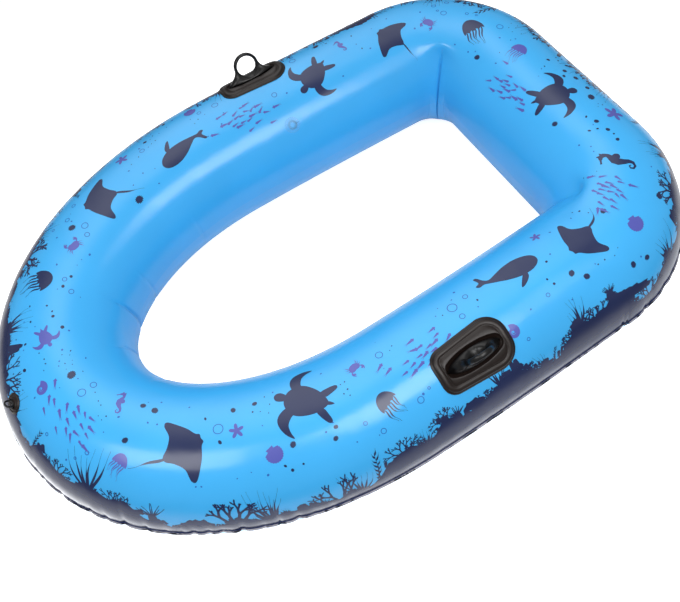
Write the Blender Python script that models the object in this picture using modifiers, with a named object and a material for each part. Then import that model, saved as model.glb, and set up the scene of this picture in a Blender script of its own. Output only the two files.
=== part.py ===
"""Clear-bottom inflatable boat.

A D-shaped ring of one fat inflated tube, welded from an upper and a lower skin, closed below by a
clear sheet.  Moulded oar rings stand on both sides, a towing eye on the bow, and a push-in
inflation valve on the inner shoulder of the starboard tube.

Metres.  +X is the bow, +Y is port, +Z is up.  The origin is under the middle of the boat, on the
surface it rests on.
"""
import math

import bmesh
import bpy
from mathutils import Matrix, Vector

# Hull ring, measured over the inflated tube and without the weld seams.
HULL_LENGTH = 1.55
HULL_WIDTH = 1.06
TUBE_RADIUS = 0.150
STERN_CORNER = 0.195
STERN_TAPER = 0.030
BOW_LENGTH = 0.578
BOW_FULLNESS = 2.07
SKIN = 0.0004
SEAM_OUTER = 0.007
SEAM_INNER = 0.004
WELD_GAP = 0.0003
CONTACT_GAP = 0.0003

# Clear floor sheet, welded under the tube.
FLOOR_THICKNESS = 0.0005
FLOOR_OVERLAP = 0.030

# Steps of the hull: along each stretch of one half, and around half the tube.
TRANSOM_STEPS = 2
CORNER_STEPS = 8
SIDE_STEPS = 6
BOW_STEPS = 12
TUBE_STEPS = 10
TANGENT_REACH = 0.005
CREASE_DEGREES = 60.0
FRAME_DISPLAY = 0.05

# Oar ring fittings, one a side.  The angle is up from the outboard horizontal.
OARLOCK_STATION = -0.083
OARLOCK_ANGLE = 64.0
PATCH_LENGTH = 0.170
PATCH_WIDTH_STERN = 0.113
PATCH_WIDTH_BOW = 0.098
PATCH_CORNER_STERN = 0.044
PATCH_CORNER_BOW = 0.030
PATCH_FLANGE = 0.0045
PATCH_BAND = 0.0125
PATCH_STEP = 0.0040
OARLOCK_FOOT_LENGTH = 0.130
OARLOCK_FOOT_WIDTH = 0.046
OARLOCK_RING_OUTER = 0.031
OARLOCK_RING_HOLE = 0.0235
OARLOCK_RING_THICKNESS = 0.012
OARLOCK_RING_LIFT = 0.0035

# Towing eye on the bow.
EYE_ANGLE = 47.0
EYE_PATCH_RADIUS = 0.0220
EYE_PATCH_FLANGE = 0.0025
EYE_PATCH_BAND = 0.0045
EYE_PATCH_STEP = 0.0016
EYE_FOOT_LENGTH = 0.0235
EYE_FOOT_WIDTH = 0.0110
EYE_RING_OUTER = 0.0095
EYE_RING_HOLE = 0.0058
EYE_RING_THICKNESS = 0.0045
EYE_RING_LIFT = 0.0012

# Moulded patches and lugs: heights above the skin, the fit of a foot in its patch, and the
# shape of the flare from the foot to the ring.
PATCH_SEAT = 0.0005
PATCH_EDGE = 0.0011
PATCH_GROOVE = 0.0012
PATCH_RISE = 0.0015
FOOT_CLEARANCE = 0.0005
LENS_FULLNESS = 3.0
SLAB_FULLNESS = 8.0
FLARE_BEND = 0.3
RING_MEETING = 8.0
RING_CREST = 86.0
SMALLEST_CORNER = 0.002
OPENING_LIP = 0.002
BOW_CORNER_STEPS = 8
STERN_CORNER_STEPS = 12
ROUND_STEPS = 24
PATCH_POINTS = 32
SEAT_ROWS = 4
FLARE_STEPS = 5
RING_STEPS = 6

# Inflation valve.  The angle is up from the outboard horizontal, so it faces inboard.
VALVE_STATION = -0.100
VALVE_ANGLE = 132.0
VALVE_COLLAR_RADIUS = 0.0190
VALVE_COLLAR_THICKNESS = 0.0014
VALVE_COLLAR_SEAT = 0.0004
VALVE_COLLAR_FACE = 0.93
VALVE_COLLAR_EDGE = 0.3
VALVE_SOCKET_BORE = 0.0085
VALVE_WALL = 0.0020
VALVE_SOCKET_DEPTH = 0.016
VALVE_HOLE_CLEARANCE = 0.0006
VALVE_STEM_WALL = 0.0024
VALVE_STEM_BELOW = 0.0020
VALVE_LIP = 0.0034
VALVE_LIP_THICKNESS = 0.0012
VALVE_CAP_RADIUS = 0.0098
VALVE_CAP_THICKNESS = 0.0018
VALVE_CAP_FACE = 0.9
VALVE_CAP_EDGE = 0.4
VALVE_PLUG_DEPTH = 0.0120
VALVE_PLUG_STRAIGHT = 0.85
VALVE_PLUG_TIP = 0.75
VALVE_FLAP_THICKNESS = 0.0008
VALVE_FIT = 0.0003
VALVE_STRAP_RADIUS = 0.0006
VALVE_STRAP_REACH = 0.009
VALVE_STRAP_ARCH = 0.005
TURN_STEPS = 28
STRAP_STEPS = 12
STRAP_FACETS = 2

# Centreline of the tube in plan, worked out from the hull sizes.
SHELL_HEIGHT = FLOOR_THICKNESS + CONTACT_GAP + TUBE_RADIUS
STERN_X = -HULL_LENGTH / 2 + TUBE_RADIUS
BOW_X = HULL_LENGTH / 2 - TUBE_RADIUS
SIDE_Y = HULL_WIDTH / 2 - TUBE_RADIUS
STERN_Y = SIDE_Y * (1 - STERN_TAPER)
CORNER_END = STERN_X + STERN_CORNER
BOW_START = BOW_X - BOW_LENGTH

# Valve levels along its axis, from the collar's seat on the skin.
COLLAR_TOP = VALVE_COLLAR_SEAT + VALVE_COLLAR_THICKNESS
LIP_BOTTOM = COLLAR_TOP + VALVE_FIT
LIP_TOP = LIP_BOTTOM + VALVE_LIP_THICKNESS
CAP_BOTTOM = LIP_TOP + VALVE_FIT
CAP_TOP = CAP_BOTTOM + VALVE_CAP_THICKNESS
STEM_RADIUS = VALVE_SOCKET_BORE - VALVE_FIT
STEM_BORE = STEM_RADIUS - VALVE_STEM_WALL
STEM_BOTTOM = -VALVE_SOCKET_DEPTH - VALVE_STEM_BELOW
FLAP_RADIUS = STEM_BORE + VALVE_STEM_WALL / 2
FLAP_TOP = STEM_BOTTOM - VALVE_FIT


def clear_scene():
    for existing in list(bpy.data.objects):
        bpy.data.objects.remove(existing, do_unlink=True)


def make_collection(name):
    collection = bpy.data.collections.new(name)
    bpy.context.scene.collection.children.link(collection)
    return collection


def make_material(name, colour, roughness, alpha=1.0):
    material = bpy.data.materials.new(name)
    material.use_nodes = True
    shader = material.node_tree.nodes["Principled BSDF"]
    shader.inputs["Base Color"].default_value = (*colour, 1.0)
    shader.inputs["Roughness"].default_value = roughness
    shader.inputs["Metallic"].default_value = 0.0
    shader.inputs["Alpha"].default_value = alpha
    return material


def place(obj, parent, material):
    """Links a piece into the boat, under its frame and with its own material."""
    BOAT.objects.link(obj)
    obj.parent = parent
    obj.data.materials.append(material)
    return obj


def smooth(mesh, sharp_degrees=35.0):
    mesh.shade_smooth()
    mesh.set_sharp_from_angle(angle=math.radians(sharp_degrees))


def mesh_from_bmesh(name, shape):
    mesh = bpy.data.meshes.new(name)
    bmesh.ops.recalc_face_normals(shape, faces=shape.faces)
    shape.to_mesh(mesh)
    shape.free()
    return mesh


def mesh_from_curve(curve_object):
    """Takes the curve's evaluated surface as a welded mesh and removes the curve."""
    bpy.context.scene.collection.objects.link(curve_object)
    bpy.context.view_layer.update()
    evaluated = curve_object.evaluated_get(bpy.context.evaluated_depsgraph_get())
    mesh = bpy.data.meshes.new_from_object(evaluated)
    shape = bmesh.new()
    shape.from_mesh(mesh)
    bmesh.ops.remove_doubles(shape, verts=shape.verts, dist=0.00001)
    bmesh.ops.recalc_face_normals(shape, faces=shape.faces)
    shape.to_mesh(mesh)
    shape.free()
    mesh.transform(curve_object.matrix_world)
    bpy.data.objects.remove(curve_object, do_unlink=True)
    return mesh


def centreline_y(x):
    """Half width of the tube's centreline at a station ahead of the stern corners."""
    if x > BOW_START:
        reach = min((x - BOW_START) / BOW_LENGTH, 1.0)
        return SIDE_Y * (1 - reach ** BOW_FULLNESS) ** (1 / BOW_FULLNESS)
    along = max((x - CORNER_END) / (BOW_START - CORNER_END), 0.0)
    return STERN_Y + (SIDE_Y - STERN_Y) * math.sin(along * math.pi / 2)


def half_centreline():
    """Port half of the centreline, from the middle of the stern to the tip of the bow."""
    points = []
    for step in range(TRANSOM_STEPS):
        points.append((STERN_X, (STERN_Y - STERN_CORNER) * step / TRANSOM_STEPS))
    for step in range(CORNER_STEPS):
        turn = math.pi / 2 * step / CORNER_STEPS
        points.append((CORNER_END - STERN_CORNER * math.cos(turn),
                       STERN_Y - STERN_CORNER + STERN_CORNER * math.sin(turn)))
    for step in range(SIDE_STEPS):
        x = CORNER_END + (BOW_START - CORNER_END) * step / SIDE_STEPS
        points.append((x, centreline_y(x)))
    for step in range(BOW_STEPS + 1):
        turn = math.pi / 2 * step / BOW_STEPS
        points.append((BOW_START + BOW_LENGTH * math.sin(turn) ** (2 / BOW_FULLNESS),
                       SIDE_Y * max(math.cos(turn), 0.0) ** (2 / BOW_FULLNESS)))
    points[-1] = (BOW_X, 0.0)
    return points


def centreline():
    port = half_centreline()
    starboard = [(x, -y) for x, y in port[-2:0:-1]]
    return port + starboard


def offset_outward(points, distance):
    """Moves a closed outline outward by a distance, square to itself."""
    moved = []
    count = len(points)
    for index, point in enumerate(points):
        before = Vector(points[index - 1])
        after = Vector(points[(index + 1) % count])
        along = (after - before).normalized()
        moved.append((point[0] - along.y * distance, point[1] + along.x * distance))
    return moved


def tube_frame(name, x, side, angle):
    """An empty on the tube's surface: local X along the tube to the bow, local Z outward."""
    widening = centreline_y(x + TANGENT_REACH) - centreline_y(x - TANGENT_REACH)
    ahead = Vector((2 * TANGENT_REACH, widening * side, 0.0)).normalized()
    outboard = Vector((-ahead.y, ahead.x, 0.0)) * side
    centre = Vector((x, centreline_y(x) * side, SHELL_HEIGHT))
    return surface_frame(name, centre, ahead, outboard, angle)


def surface_frame(name, centre, ahead, outboard, angle):
    up = Vector((0.0, 0.0, 1.0))
    normal = outboard * math.cos(math.radians(angle)) + up * math.sin(math.radians(angle))
    across = normal.cross(ahead)
    turn = Matrix((ahead, across, normal)).transposed().to_4x4()
    frame = bpy.data.objects.new(name, None)
    frame.empty_display_size = FRAME_DISPLAY
    frame.matrix_world = Matrix.Translation(centre + normal * TUBE_RADIUS) @ turn
    BOAT.objects.link(frame)
    return frame


def skin_profile(upwards):
    """Section of one skin, its outer side, from the outer seam over the tube to the inner seam."""
    seam = WELD_GAP / 2 + SKIN
    start = math.asin(seam / TUBE_RADIUS)
    points = [(TUBE_RADIUS + SEAM_OUTER, seam)]
    for step in range(TUBE_STEPS + 1):
        turn = start + (math.pi - 2 * start) * step / TUBE_STEPS
        points.append((TUBE_RADIUS * math.cos(turn), TUBE_RADIUS * math.sin(turn)))
    points.append((-TUBE_RADIUS - SEAM_INNER, seam))
    return [(across, height * upwards) for across, height in points]


def poly_curve(name, points, cyclic, dimensions="3D"):
    curve = bpy.data.curves.new(name, "CURVE")
    curve.dimensions = dimensions
    spline = curve.splines.new("POLY")
    spline.points.add(len(points) - 1)
    for control, point in zip(spline.points, points):
        control.co = (*point, 1.0) if len(point) == 3 else (*point, 0.0, 1.0)
    spline.use_cyclic_u = cyclic
    return curve


def hull_skin(name, upwards, material):
    """One welded skin: the section swept round the centreline, then given its thickness."""
    profile = poly_curve(name + "_section", skin_profile(upwards), False)
    section = bpy.data.objects.new(name + "_section", profile)
    bpy.context.scene.collection.objects.link(section)
    path = poly_curve(name + "_path", [(x, y, SHELL_HEIGHT) for x, y in centreline()[::-1]], True)
    path.twist_mode = "Z_UP"
    path.bevel_mode = "OBJECT"
    path.bevel_object = section
    mesh = mesh_from_curve(bpy.data.objects.new(name + "_path", path))
    bpy.data.objects.remove(section, do_unlink=True)
    shape = bmesh.new()
    shape.from_mesh(mesh)
    top = max(shape.faces, key=lambda face: face.calc_center_median().z * upwards)
    if top.normal.z * upwards < 0:
        bmesh.ops.reverse_faces(shape, faces=shape.faces)
    shape.to_mesh(mesh)
    shape.free()
    smooth(mesh, CREASE_DEGREES)
    skin = place(bpy.data.objects.new(name, mesh), None, material)
    thickness = skin.modifiers.new("thickness", "SOLIDIFY")
    thickness.thickness = SKIN
    thickness.offset = -1.0
    thickness.use_even_offset = True
    return skin


def clear_floor(material):
    """The flat clear sheet, reaching a weld's width past the line the tube rests on."""
    outline = poly_curve("floor_outline", offset_outward(centreline(), FLOOR_OVERLAP), True, "2D")
    outline.fill_mode = "BOTH"
    outline.extrude = FLOOR_THICKNESS / 2
    sheet = bpy.data.objects.new("floor_outline", outline)
    sheet.location.z = FLOOR_THICKNESS / 2
    mesh = mesh_from_curve(sheet)
    return place(bpy.data.objects.new("clear_floor_sheet", mesh), None, material)


def even_points(outline, count):
    """Resamples an open outline into count equal steps along its length."""
    lengths = [0.0]
    for start, end in zip(outline, outline[1:]):
        lengths.append(lengths[-1] + math.dist(start, end))
    points = []
    for step in range(count + 1):
        target = lengths[-1] * step / count
        index = 0
        while index < len(outline) - 2 and lengths[index + 1] < target:
            index += 1
        share = (target - lengths[index]) / (lengths[index + 1] - lengths[index])
        start = Vector(outline[index])
        end = Vector(outline[index + 1])
        points.append(tuple(start.lerp(end, min(max(share, 0.0), 1.0))))
    return points


def whole_outline(half):
    """Closes a half outline, from its bow end to its stern end, with its mirror image."""
    upper = even_points(half, PATCH_POINTS // 2)
    lower = [(x, -y) for x, y in upper[-2:0:-1]]
    return upper + lower


def tapered_outline(inset):
    """Half outline of an oar ring patch: rounded corners, broader towards the stern."""
    bow = PATCH_LENGTH / 2 - inset
    wide = PATCH_WIDTH_STERN / 2 - inset
    narrow = PATCH_WIDTH_BOW / 2 - inset
    bow_corner = max(PATCH_CORNER_BOW - inset, SMALLEST_CORNER)
    stern_corner = max(PATCH_CORNER_STERN - inset, SMALLEST_CORNER)
    points = [(bow, 0.0)]
    for step in range(BOW_CORNER_STEPS + 1):
        turn = math.pi / 2 * step / BOW_CORNER_STEPS
        points.append((bow - bow_corner + bow_corner * math.cos(turn),
                       narrow - bow_corner + bow_corner * math.sin(turn)))
    for step in range(STERN_CORNER_STEPS + 1):
        turn = math.pi / 2 * step / STERN_CORNER_STEPS
        points.append((-bow + stern_corner - stern_corner * math.sin(turn),
                       wide - stern_corner + stern_corner * math.cos(turn)))
    points.append((-bow, 0.0))
    return points


def round_outline(inset):
    """Half outline of the bow patch: a circle."""
    radius = EYE_PATCH_RADIUS - inset
    points = []
    for step in range(ROUND_STEPS + 1):
        turn = math.pi * step / ROUND_STEPS
        points.append((radius * math.cos(turn), radius * math.sin(turn)))
    return points


def lens_outline(length, width, fullness):
    """Half outline of a foot: pointed ends when the fullness is low, a slab when it is high."""
    points = []
    for step in range(ROUND_STEPS + 1):
        x = math.cos(math.pi * step / ROUND_STEPS)
        points.append((x * length / 2, (1 - abs(x) ** fullness) * width / 2))
    return points


def on_tube(point, height, along_radius):
    """A point of a flat layout wrapped onto the tube, in the fitting's own frame."""
    turn = point[1] / TUBE_RADIUS
    radius = TUBE_RADIUS + height
    sag = point[0] ** 2 / (2 * along_radius) if along_radius else 0.0
    return Vector((point[0], radius * math.sin(turn), radius * math.cos(turn) - TUBE_RADIUS - sag))


def loft(name, rings, ring_faces, capped):
    """Joins rings of equal counts; capped fills the first and last, else the last meets the first."""
    shape = bmesh.new()
    rows = [[shape.verts.new(point) for point in ring] for ring in rings]
    pairs = list(zip(rows, rows[1:]))
    if not capped:
        pairs.append((rows[-1], rows[0]))
    for low, high in pairs:
        for index in range(ring_faces):
            after = (index + 1) % ring_faces
            shape.faces.new((low[index], low[after], high[after], high[index]))
    if capped:
        shape.faces.new(rows[0][::-1])
        shape.faces.new(rows[-1])
    return mesh_from_bmesh(name, shape)


def plateau_height(step):
    """Height of a patch's top, at the edge of its lens opening."""
    return PATCH_SEAT + PATCH_EDGE + step + PATCH_RISE


def patch_mesh(name, outline, foot, rim, along_radius):
    """Moulded patch on the tube: thin weld flange, raised band, groove, plateau and lens opening."""
    flange, band, step = rim
    length, width = foot
    level = PATCH_SEAT + PATCH_EDGE
    crest = level + step
    layers = [(outline(0.0), PATCH_SEAT),
              (outline(0.0), level),
              (outline(flange), level),
              (outline(flange + step / 4), crest),
              (outline(flange + band), crest + PATCH_RISE / 2),
              (outline(flange + band + PATCH_GROOVE), crest - PATCH_GROOVE),
              (lens_outline(length + OPENING_LIP, width + OPENING_LIP, LENS_FULLNESS),
               plateau_height(step)),
              (lens_outline(length, width, LENS_FULLNESS), plateau_height(step) - PATCH_GROOVE / 2)]
    rings = []
    for half, height in layers:
        rings.append([on_tube(point, height, along_radius) for point in whole_outline(half)])
    inner = whole_outline(lens_outline(length, width, LENS_FULLNESS))
    outer = whole_outline(outline(0.0))
    for row in range(SEAT_ROWS):
        share = row / SEAT_ROWS
        seat = [Vector(near).lerp(Vector(far), share) for near, far in zip(inner, outer)]
        rings.append([on_tube(point, PATCH_SEAT, along_radius) for point in seat])
    mesh = loft(name, rings, PATCH_POINTS, False)
    smooth(mesh)
    return mesh


def lug_sections(foot, ring, base, wall):
    """Level sections of a lug, from its foot to the crest of its ring.

    Each has a length, a width, an outline fullness and a height.  The foot's lens flares into the
    ring's sides, then the sections follow the ring's round outline.
    """
    length, width = foot
    outer, thickness, centre = ring
    sections = [(length, width, LENS_FULLNESS, base)]
    side = math.radians(RING_MEETING)
    tip = Vector((length / 2, wall))
    meeting = Vector((outer * math.cos(side), centre + outer * math.sin(side)))
    bend = Vector((outer, wall + (meeting.y - wall) * FLARE_BEND))
    for step in range(FLARE_STEPS + 1):
        share = step / FLARE_STEPS
        back = 1 - share
        point = tip * back ** 2 + bend * 2 * share * back + meeting * share ** 2
        wide = thickness + (width - thickness) * back ** 2
        fullness = LENS_FULLNESS + (SLAB_FULLNESS - LENS_FULLNESS) * share
        sections.append((2 * point.x, wide, fullness, point.y))
    crest = math.radians(RING_CREST)
    for step in range(1, RING_STEPS + 1):
        turn = side + (crest - side) * step / RING_STEPS
        height = centre + outer * math.sin(turn)
        sections.append((2 * outer * math.cos(turn), thickness, SLAB_FULLNESS, height))
    return sections


def ring_lug(name, foot, ring, patch_step, material, parent):
    """A lens foot that narrows into an upright ring, bored through."""
    outer, hole, thickness, lift = ring
    centre = plateau_height(patch_step) + lift + hole
    base = PATCH_SEAT + FOOT_CLEARANCE
    wall = plateau_height(patch_step) + FOOT_CLEARANCE
    inner_foot = (foot[0] - 2 * FOOT_CLEARANCE, foot[1] - 2 * FOOT_CLEARANCE)
    rings = []
    for long, wide, fullness, height in lug_sections(inner_foot, (outer, thickness, centre), base, wall):
        outline = whole_outline(lens_outline(long, wide, fullness))
        rings.append([Vector((x, y, height)) for x, y in outline])
    mesh = loft(name, rings, PATCH_POINTS, True)
    smooth(mesh)
    lug = place(bpy.data.objects.new(name, mesh), parent, material)
    bore = round_cutter(name + "_hole", hole, foot[1] * 2, parent)
    bore.rotation_euler.x = math.pi / 2
    bore.location.z = centre
    cut(lug, bore)


def add_cutter(name, mesh, parent):
    cutter = bpy.data.objects.new(name, mesh)
    CUTTERS.objects.link(cutter)
    cutter.parent = parent
    cutter.hide_render = True
    cutter.display_type = "WIRE"
    return cutter


def round_cutter(name, radius, length, parent):
    shape = bmesh.new()
    bmesh.ops.create_cone(shape, cap_ends=True, segments=TURN_STEPS, radius1=radius,
                          radius2=radius, depth=length)
    return add_cutter(name, mesh_from_bmesh(name, shape), parent)


def cut(obj, cutter):
    step = obj.modifiers.new("cut", "BOOLEAN")
    step.operation = "DIFFERENCE"
    step.solver = "EXACT"
    step.object = cutter


def turned(name, profile, closed, material, parent):
    """A turned piece: the profile, drawn down its outer side, spun about local Z."""
    mesh = bpy.data.meshes.new(name)
    edges = [(index, index + 1) for index in range(len(profile) - 1)]
    if closed:
        edges.append((len(profile) - 1, 0))
    mesh.from_pydata([(radius, 0.0, height) for radius, height in profile], edges, [])
    obj = place(bpy.data.objects.new(name, mesh), parent, material)
    spin = obj.modifiers.new("spin", "SCREW")
    spin.steps = TURN_STEPS
    spin.render_steps = TURN_STEPS
    spin.use_merge_vertices = True
    spin.merge_threshold = 0.00001
    spin.use_smooth_shade = False
    return obj


def oarlock(side_name, side, patch_material, ring_material):
    frame = tube_frame("oarlock_frame_" + side_name, OARLOCK_STATION, side, OARLOCK_ANGLE)
    foot = (OARLOCK_FOOT_LENGTH, OARLOCK_FOOT_WIDTH)
    ring = (OARLOCK_RING_OUTER, OARLOCK_RING_HOLE, OARLOCK_RING_THICKNESS, OARLOCK_RING_LIFT)
    rim = (PATCH_FLANGE, PATCH_BAND, PATCH_STEP)
    mesh = patch_mesh("oarlock_patch_" + side_name, tapered_outline, foot, rim, None)
    place(bpy.data.objects.new("oarlock_patch_" + side_name, mesh), frame, patch_material)
    ring_lug("oarlock_ring_" + side_name, foot, ring, PATCH_STEP, ring_material, frame)


def bow_eye(patch_material, ring_material):
    """The towing eye on the bow's outer shoulder; local X lies across the boat."""
    centre = Vector((BOW_X, 0.0, SHELL_HEIGHT))
    frame = surface_frame("bow_frame", centre, Vector((0.0, -1.0, 0.0)), Vector((1.0, 0.0, 0.0)), EYE_ANGLE)
    tip_radius = SIDE_Y ** 2 / BOW_LENGTH
    cosine = math.cos(math.radians(EYE_ANGLE))
    along_radius = (tip_radius + TUBE_RADIUS * cosine) / cosine
    foot = (EYE_FOOT_LENGTH, EYE_FOOT_WIDTH)
    ring = (EYE_RING_OUTER, EYE_RING_HOLE, EYE_RING_THICKNESS, EYE_RING_LIFT)
    rim = (EYE_PATCH_FLANGE, EYE_PATCH_BAND, EYE_PATCH_STEP)
    mesh = patch_mesh("bow_patch", round_outline, foot, rim, along_radius)
    place(bpy.data.objects.new("bow_patch", mesh), frame, patch_material)
    ring_lug("bow_eyelet", foot, ring, EYE_PATCH_STEP, ring_material, frame)


def valve_collar(material, frame):
    outer = VALVE_SOCKET_BORE + VALVE_WALL
    edge = VALVE_COLLAR_SEAT + VALVE_COLLAR_THICKNESS * VALVE_COLLAR_EDGE
    profile = [(VALVE_SOCKET_BORE, COLLAR_TOP), (VALVE_COLLAR_RADIUS * VALVE_COLLAR_FACE, COLLAR_TOP),
               (VALVE_COLLAR_RADIUS, edge),
               (VALVE_COLLAR_RADIUS, VALVE_COLLAR_SEAT), (outer, VALVE_COLLAR_SEAT),
               (outer, -VALVE_SOCKET_DEPTH), (VALVE_SOCKET_BORE, -VALVE_SOCKET_DEPTH)]
    turned("valve_collar", profile, True, material, frame)


def valve_stem(material, frame):
    lip = STEM_RADIUS + VALVE_LIP
    profile = [(STEM_BORE, LIP_TOP), (lip, LIP_TOP), (lip, LIP_BOTTOM), (STEM_RADIUS, LIP_BOTTOM),
               (STEM_RADIUS, STEM_BOTTOM), (STEM_BORE, STEM_BOTTOM)]
    turned("valve_stem", profile, True, material, frame)


def valve_plug(material, frame):
    shank = STEM_BORE - VALVE_FIT
    edge = CAP_TOP - VALVE_CAP_THICKNESS * VALVE_CAP_EDGE
    shoulder = CAP_BOTTOM - VALVE_PLUG_DEPTH * VALVE_PLUG_STRAIGHT
    tip = CAP_BOTTOM - VALVE_PLUG_DEPTH
    profile = [(0.0, CAP_TOP), (VALVE_CAP_RADIUS * VALVE_CAP_FACE, CAP_TOP), (VALVE_CAP_RADIUS, edge),
               (VALVE_CAP_RADIUS, CAP_BOTTOM), (shank, CAP_BOTTOM), (shank, shoulder),
               (shank * VALVE_PLUG_TIP, tip), (0.0, tip)]
    turned("valve_plug", profile, False, material, frame)


def valve_flap(material, frame):
    """The check flap under the stem; its origin lies on its hinge line, at the rim."""
    hinge = bpy.data.objects.new("valve_flap_hinge", None)
    hinge.parent = frame
    hinge.location = (0.0, FLAP_RADIUS, FLAP_TOP)
    BOAT.objects.link(hinge)
    profile = [(0.0, 0.0), (FLAP_RADIUS, 0.0), (FLAP_RADIUS, -VALVE_FLAP_THICKNESS),
               (0.0, -VALVE_FLAP_THICKNESS)]
    flap = turned("valve_flap", profile, False, material, hinge)
    flap.location.y = -FLAP_RADIUS


def valve_strap(material, frame):
    """The plug's tether: an arch from the cap's rim, over the collar, back to the stem's lip."""
    beside_cap = VALVE_CAP_RADIUS + VALVE_FIT + VALVE_STRAP_RADIUS
    beside_lip = STEM_RADIUS + VALVE_LIP + VALVE_FIT
    start = Vector((-beside_cap, 0.0, CAP_BOTTOM + VALVE_CAP_THICKNESS / 2))
    finish = Vector((-beside_lip, 0.0, COLLAR_TOP + VALVE_FIT + VALVE_STRAP_RADIUS))
    rise = start + Vector((-VALVE_STRAP_REACH, 0.0, VALVE_STRAP_ARCH))
    fall = finish + Vector((-VALVE_STRAP_REACH, 0.0, 0.0))
    points = []
    for step in range(STRAP_STEPS + 1):
        share = step / STRAP_STEPS
        back = 1 - share
        early = start * back ** 3 + rise * 3 * back ** 2 * share
        late = fall * 3 * back * share ** 2 + finish * share ** 3
        points.append(tuple(early + late))
    route = poly_curve("valve_strap", points, False)
    route.bevel_depth = VALVE_STRAP_RADIUS
    route.bevel_resolution = STRAP_FACETS
    route.use_fill_caps = True
    mesh = mesh_from_curve(bpy.data.objects.new("valve_strap", route))
    smooth(mesh)
    place(bpy.data.objects.new("valve_strap", mesh), frame, material)


def inflation_valve(upper_skin, material):
    frame = tube_frame("valve_frame", VALVE_STATION, -1.0, VALVE_ANGLE)
    hole_radius = VALVE_SOCKET_BORE + VALVE_WALL + VALVE_HOLE_CLEARANCE
    cut(upper_skin, round_cutter("valve_hole", hole_radius, TUBE_RADIUS / 2, frame))
    valve_collar(material, frame)
    valve_stem(material, frame)
    valve_plug(material, frame)
    valve_flap(material, frame)
    valve_strap(material, frame)


def build_boat():
    blue_skin = make_material("sky_blue_pvc", (0.10, 0.48, 0.96), 0.28)
    lower_blue = make_material("lower_blue_pvc", (0.12, 0.40, 0.88), 0.30)
    clear_sheet = make_material("clear_pvc_sheet", (0.93, 0.96, 0.98), 0.08, alpha=0.18)
    patch_black = make_material("black_patch_pvc", (0.045, 0.036, 0.032), 0.38)
    ring_black = make_material("black_ring_pvc", (0.012, 0.012, 0.012), 0.25)
    valve_clear = make_material("clear_valve_pvc", (0.80, 0.88, 0.94), 0.20, alpha=0.6)
    upper_skin = hull_skin("hull_upper_skin", 1.0, blue_skin)
    hull_skin("hull_lower_skin", -1.0, lower_blue)
    clear_floor(clear_sheet)
    for side_name, side in (("port", 1.0), ("starboard", -1.0)):
        oarlock(side_name, side, patch_black, ring_black)
    bow_eye(patch_black, ring_black)
    inflation_valve(upper_skin, valve_clear)


clear_scene()
BOAT = make_collection("clear_bottom_inflatable_boat")
CUTTERS = make_collection("cutters")
build_boat()
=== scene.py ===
"""Clear-bottom inflatable boat: the finished look of the welded hull, its print and its fittings.

Metres.  +X is the bow, +Y is port, +Z is up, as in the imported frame.  The tube is described by two
sheet coordinates: the way along its centreline, from the middle of the stern round by port, and
the way across the skin from the outer seam, over the top, to the inner seam.
"""
import itertools
import math
import random
from collections import namedtuple

import bmesh
import bpy
from bpy.props import FloatProperty, FloatVectorProperty, IntProperty, PointerProperty
from mathutils import Matrix, Vector


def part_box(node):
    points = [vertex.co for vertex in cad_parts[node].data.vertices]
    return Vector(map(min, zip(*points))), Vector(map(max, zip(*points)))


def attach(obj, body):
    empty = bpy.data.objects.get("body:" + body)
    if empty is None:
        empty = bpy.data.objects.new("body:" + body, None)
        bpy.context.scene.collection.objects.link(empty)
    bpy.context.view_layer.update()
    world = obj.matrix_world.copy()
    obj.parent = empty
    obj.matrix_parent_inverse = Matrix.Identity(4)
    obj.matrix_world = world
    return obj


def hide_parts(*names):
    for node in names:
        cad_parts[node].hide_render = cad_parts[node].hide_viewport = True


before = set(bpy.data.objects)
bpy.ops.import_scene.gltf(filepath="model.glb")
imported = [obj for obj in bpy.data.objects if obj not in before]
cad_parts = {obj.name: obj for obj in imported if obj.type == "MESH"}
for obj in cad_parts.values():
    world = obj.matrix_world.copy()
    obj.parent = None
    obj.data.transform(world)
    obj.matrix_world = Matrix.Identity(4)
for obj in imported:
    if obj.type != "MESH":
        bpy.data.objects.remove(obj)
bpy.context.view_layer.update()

bl_info = {
    "name": "Clear-bottom inflatable boat",
    "version": (1, 0, 0),
    "blender": (4, 5, 0),
    "location": "3D View > Sidebar > Boat",
    "description": "Builds the skins, print, fittings and studio of a clear-bottom inflatable boat",
    "category": "Add Mesh",
}

# Hull sizes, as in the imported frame.
HULL_LENGTH = 1.55
HULL_WIDTH = 1.06
TUBE_RADIUS = 0.150
STERN_CORNER = 0.195
STERN_TAPER = 0.030
BOW_LENGTH = 0.578
BOW_FULLNESS = 2.07
TUBE_HEIGHT = 0.1508
STERN_X = -HULL_LENGTH / 2 + TUBE_RADIUS
SIDE_Y = HULL_WIDTH / 2 - TUBE_RADIUS
STERN_Y = SIDE_Y * (1 - STERN_TAPER)
CORNER_END = STERN_X + STERN_CORNER
BOW_START = HULL_LENGTH / 2 - TUBE_RADIUS - BOW_LENGTH
SEAM_OUTER = 0.0045
SEAM_DROOP = 0.0020
SEAM_LAP = 0.0012
LAP_STEP = 0.0005
SEAM_HALF = 0.00035
FILM_THICKNESS = 0.0004
HALF_TURN = math.pi * TUBE_RADIUS
MERGE = 0.00001

# Stations of the finished skin along the tube, and points of the fine route they come from.
STATIONS = 960
ROUTE_POINTS = 400

# Fittings: stations along the boat and angles up from the outer seam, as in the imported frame.
OARLOCK_STATION = -0.083
OARLOCK_ANGLE = 64.0
EYE_ANGLE = 47.0
VALVE_STATION = -0.100
VALVE_ANGLE = 132.0

Station = namedtuple("Station", "place outward way corner")
Pucker = namedtuple("Pucker", "way depth width reach lift")
Fold = namedtuple("Fold", "top_way top_angle low_way low_angle depth width")

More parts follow.
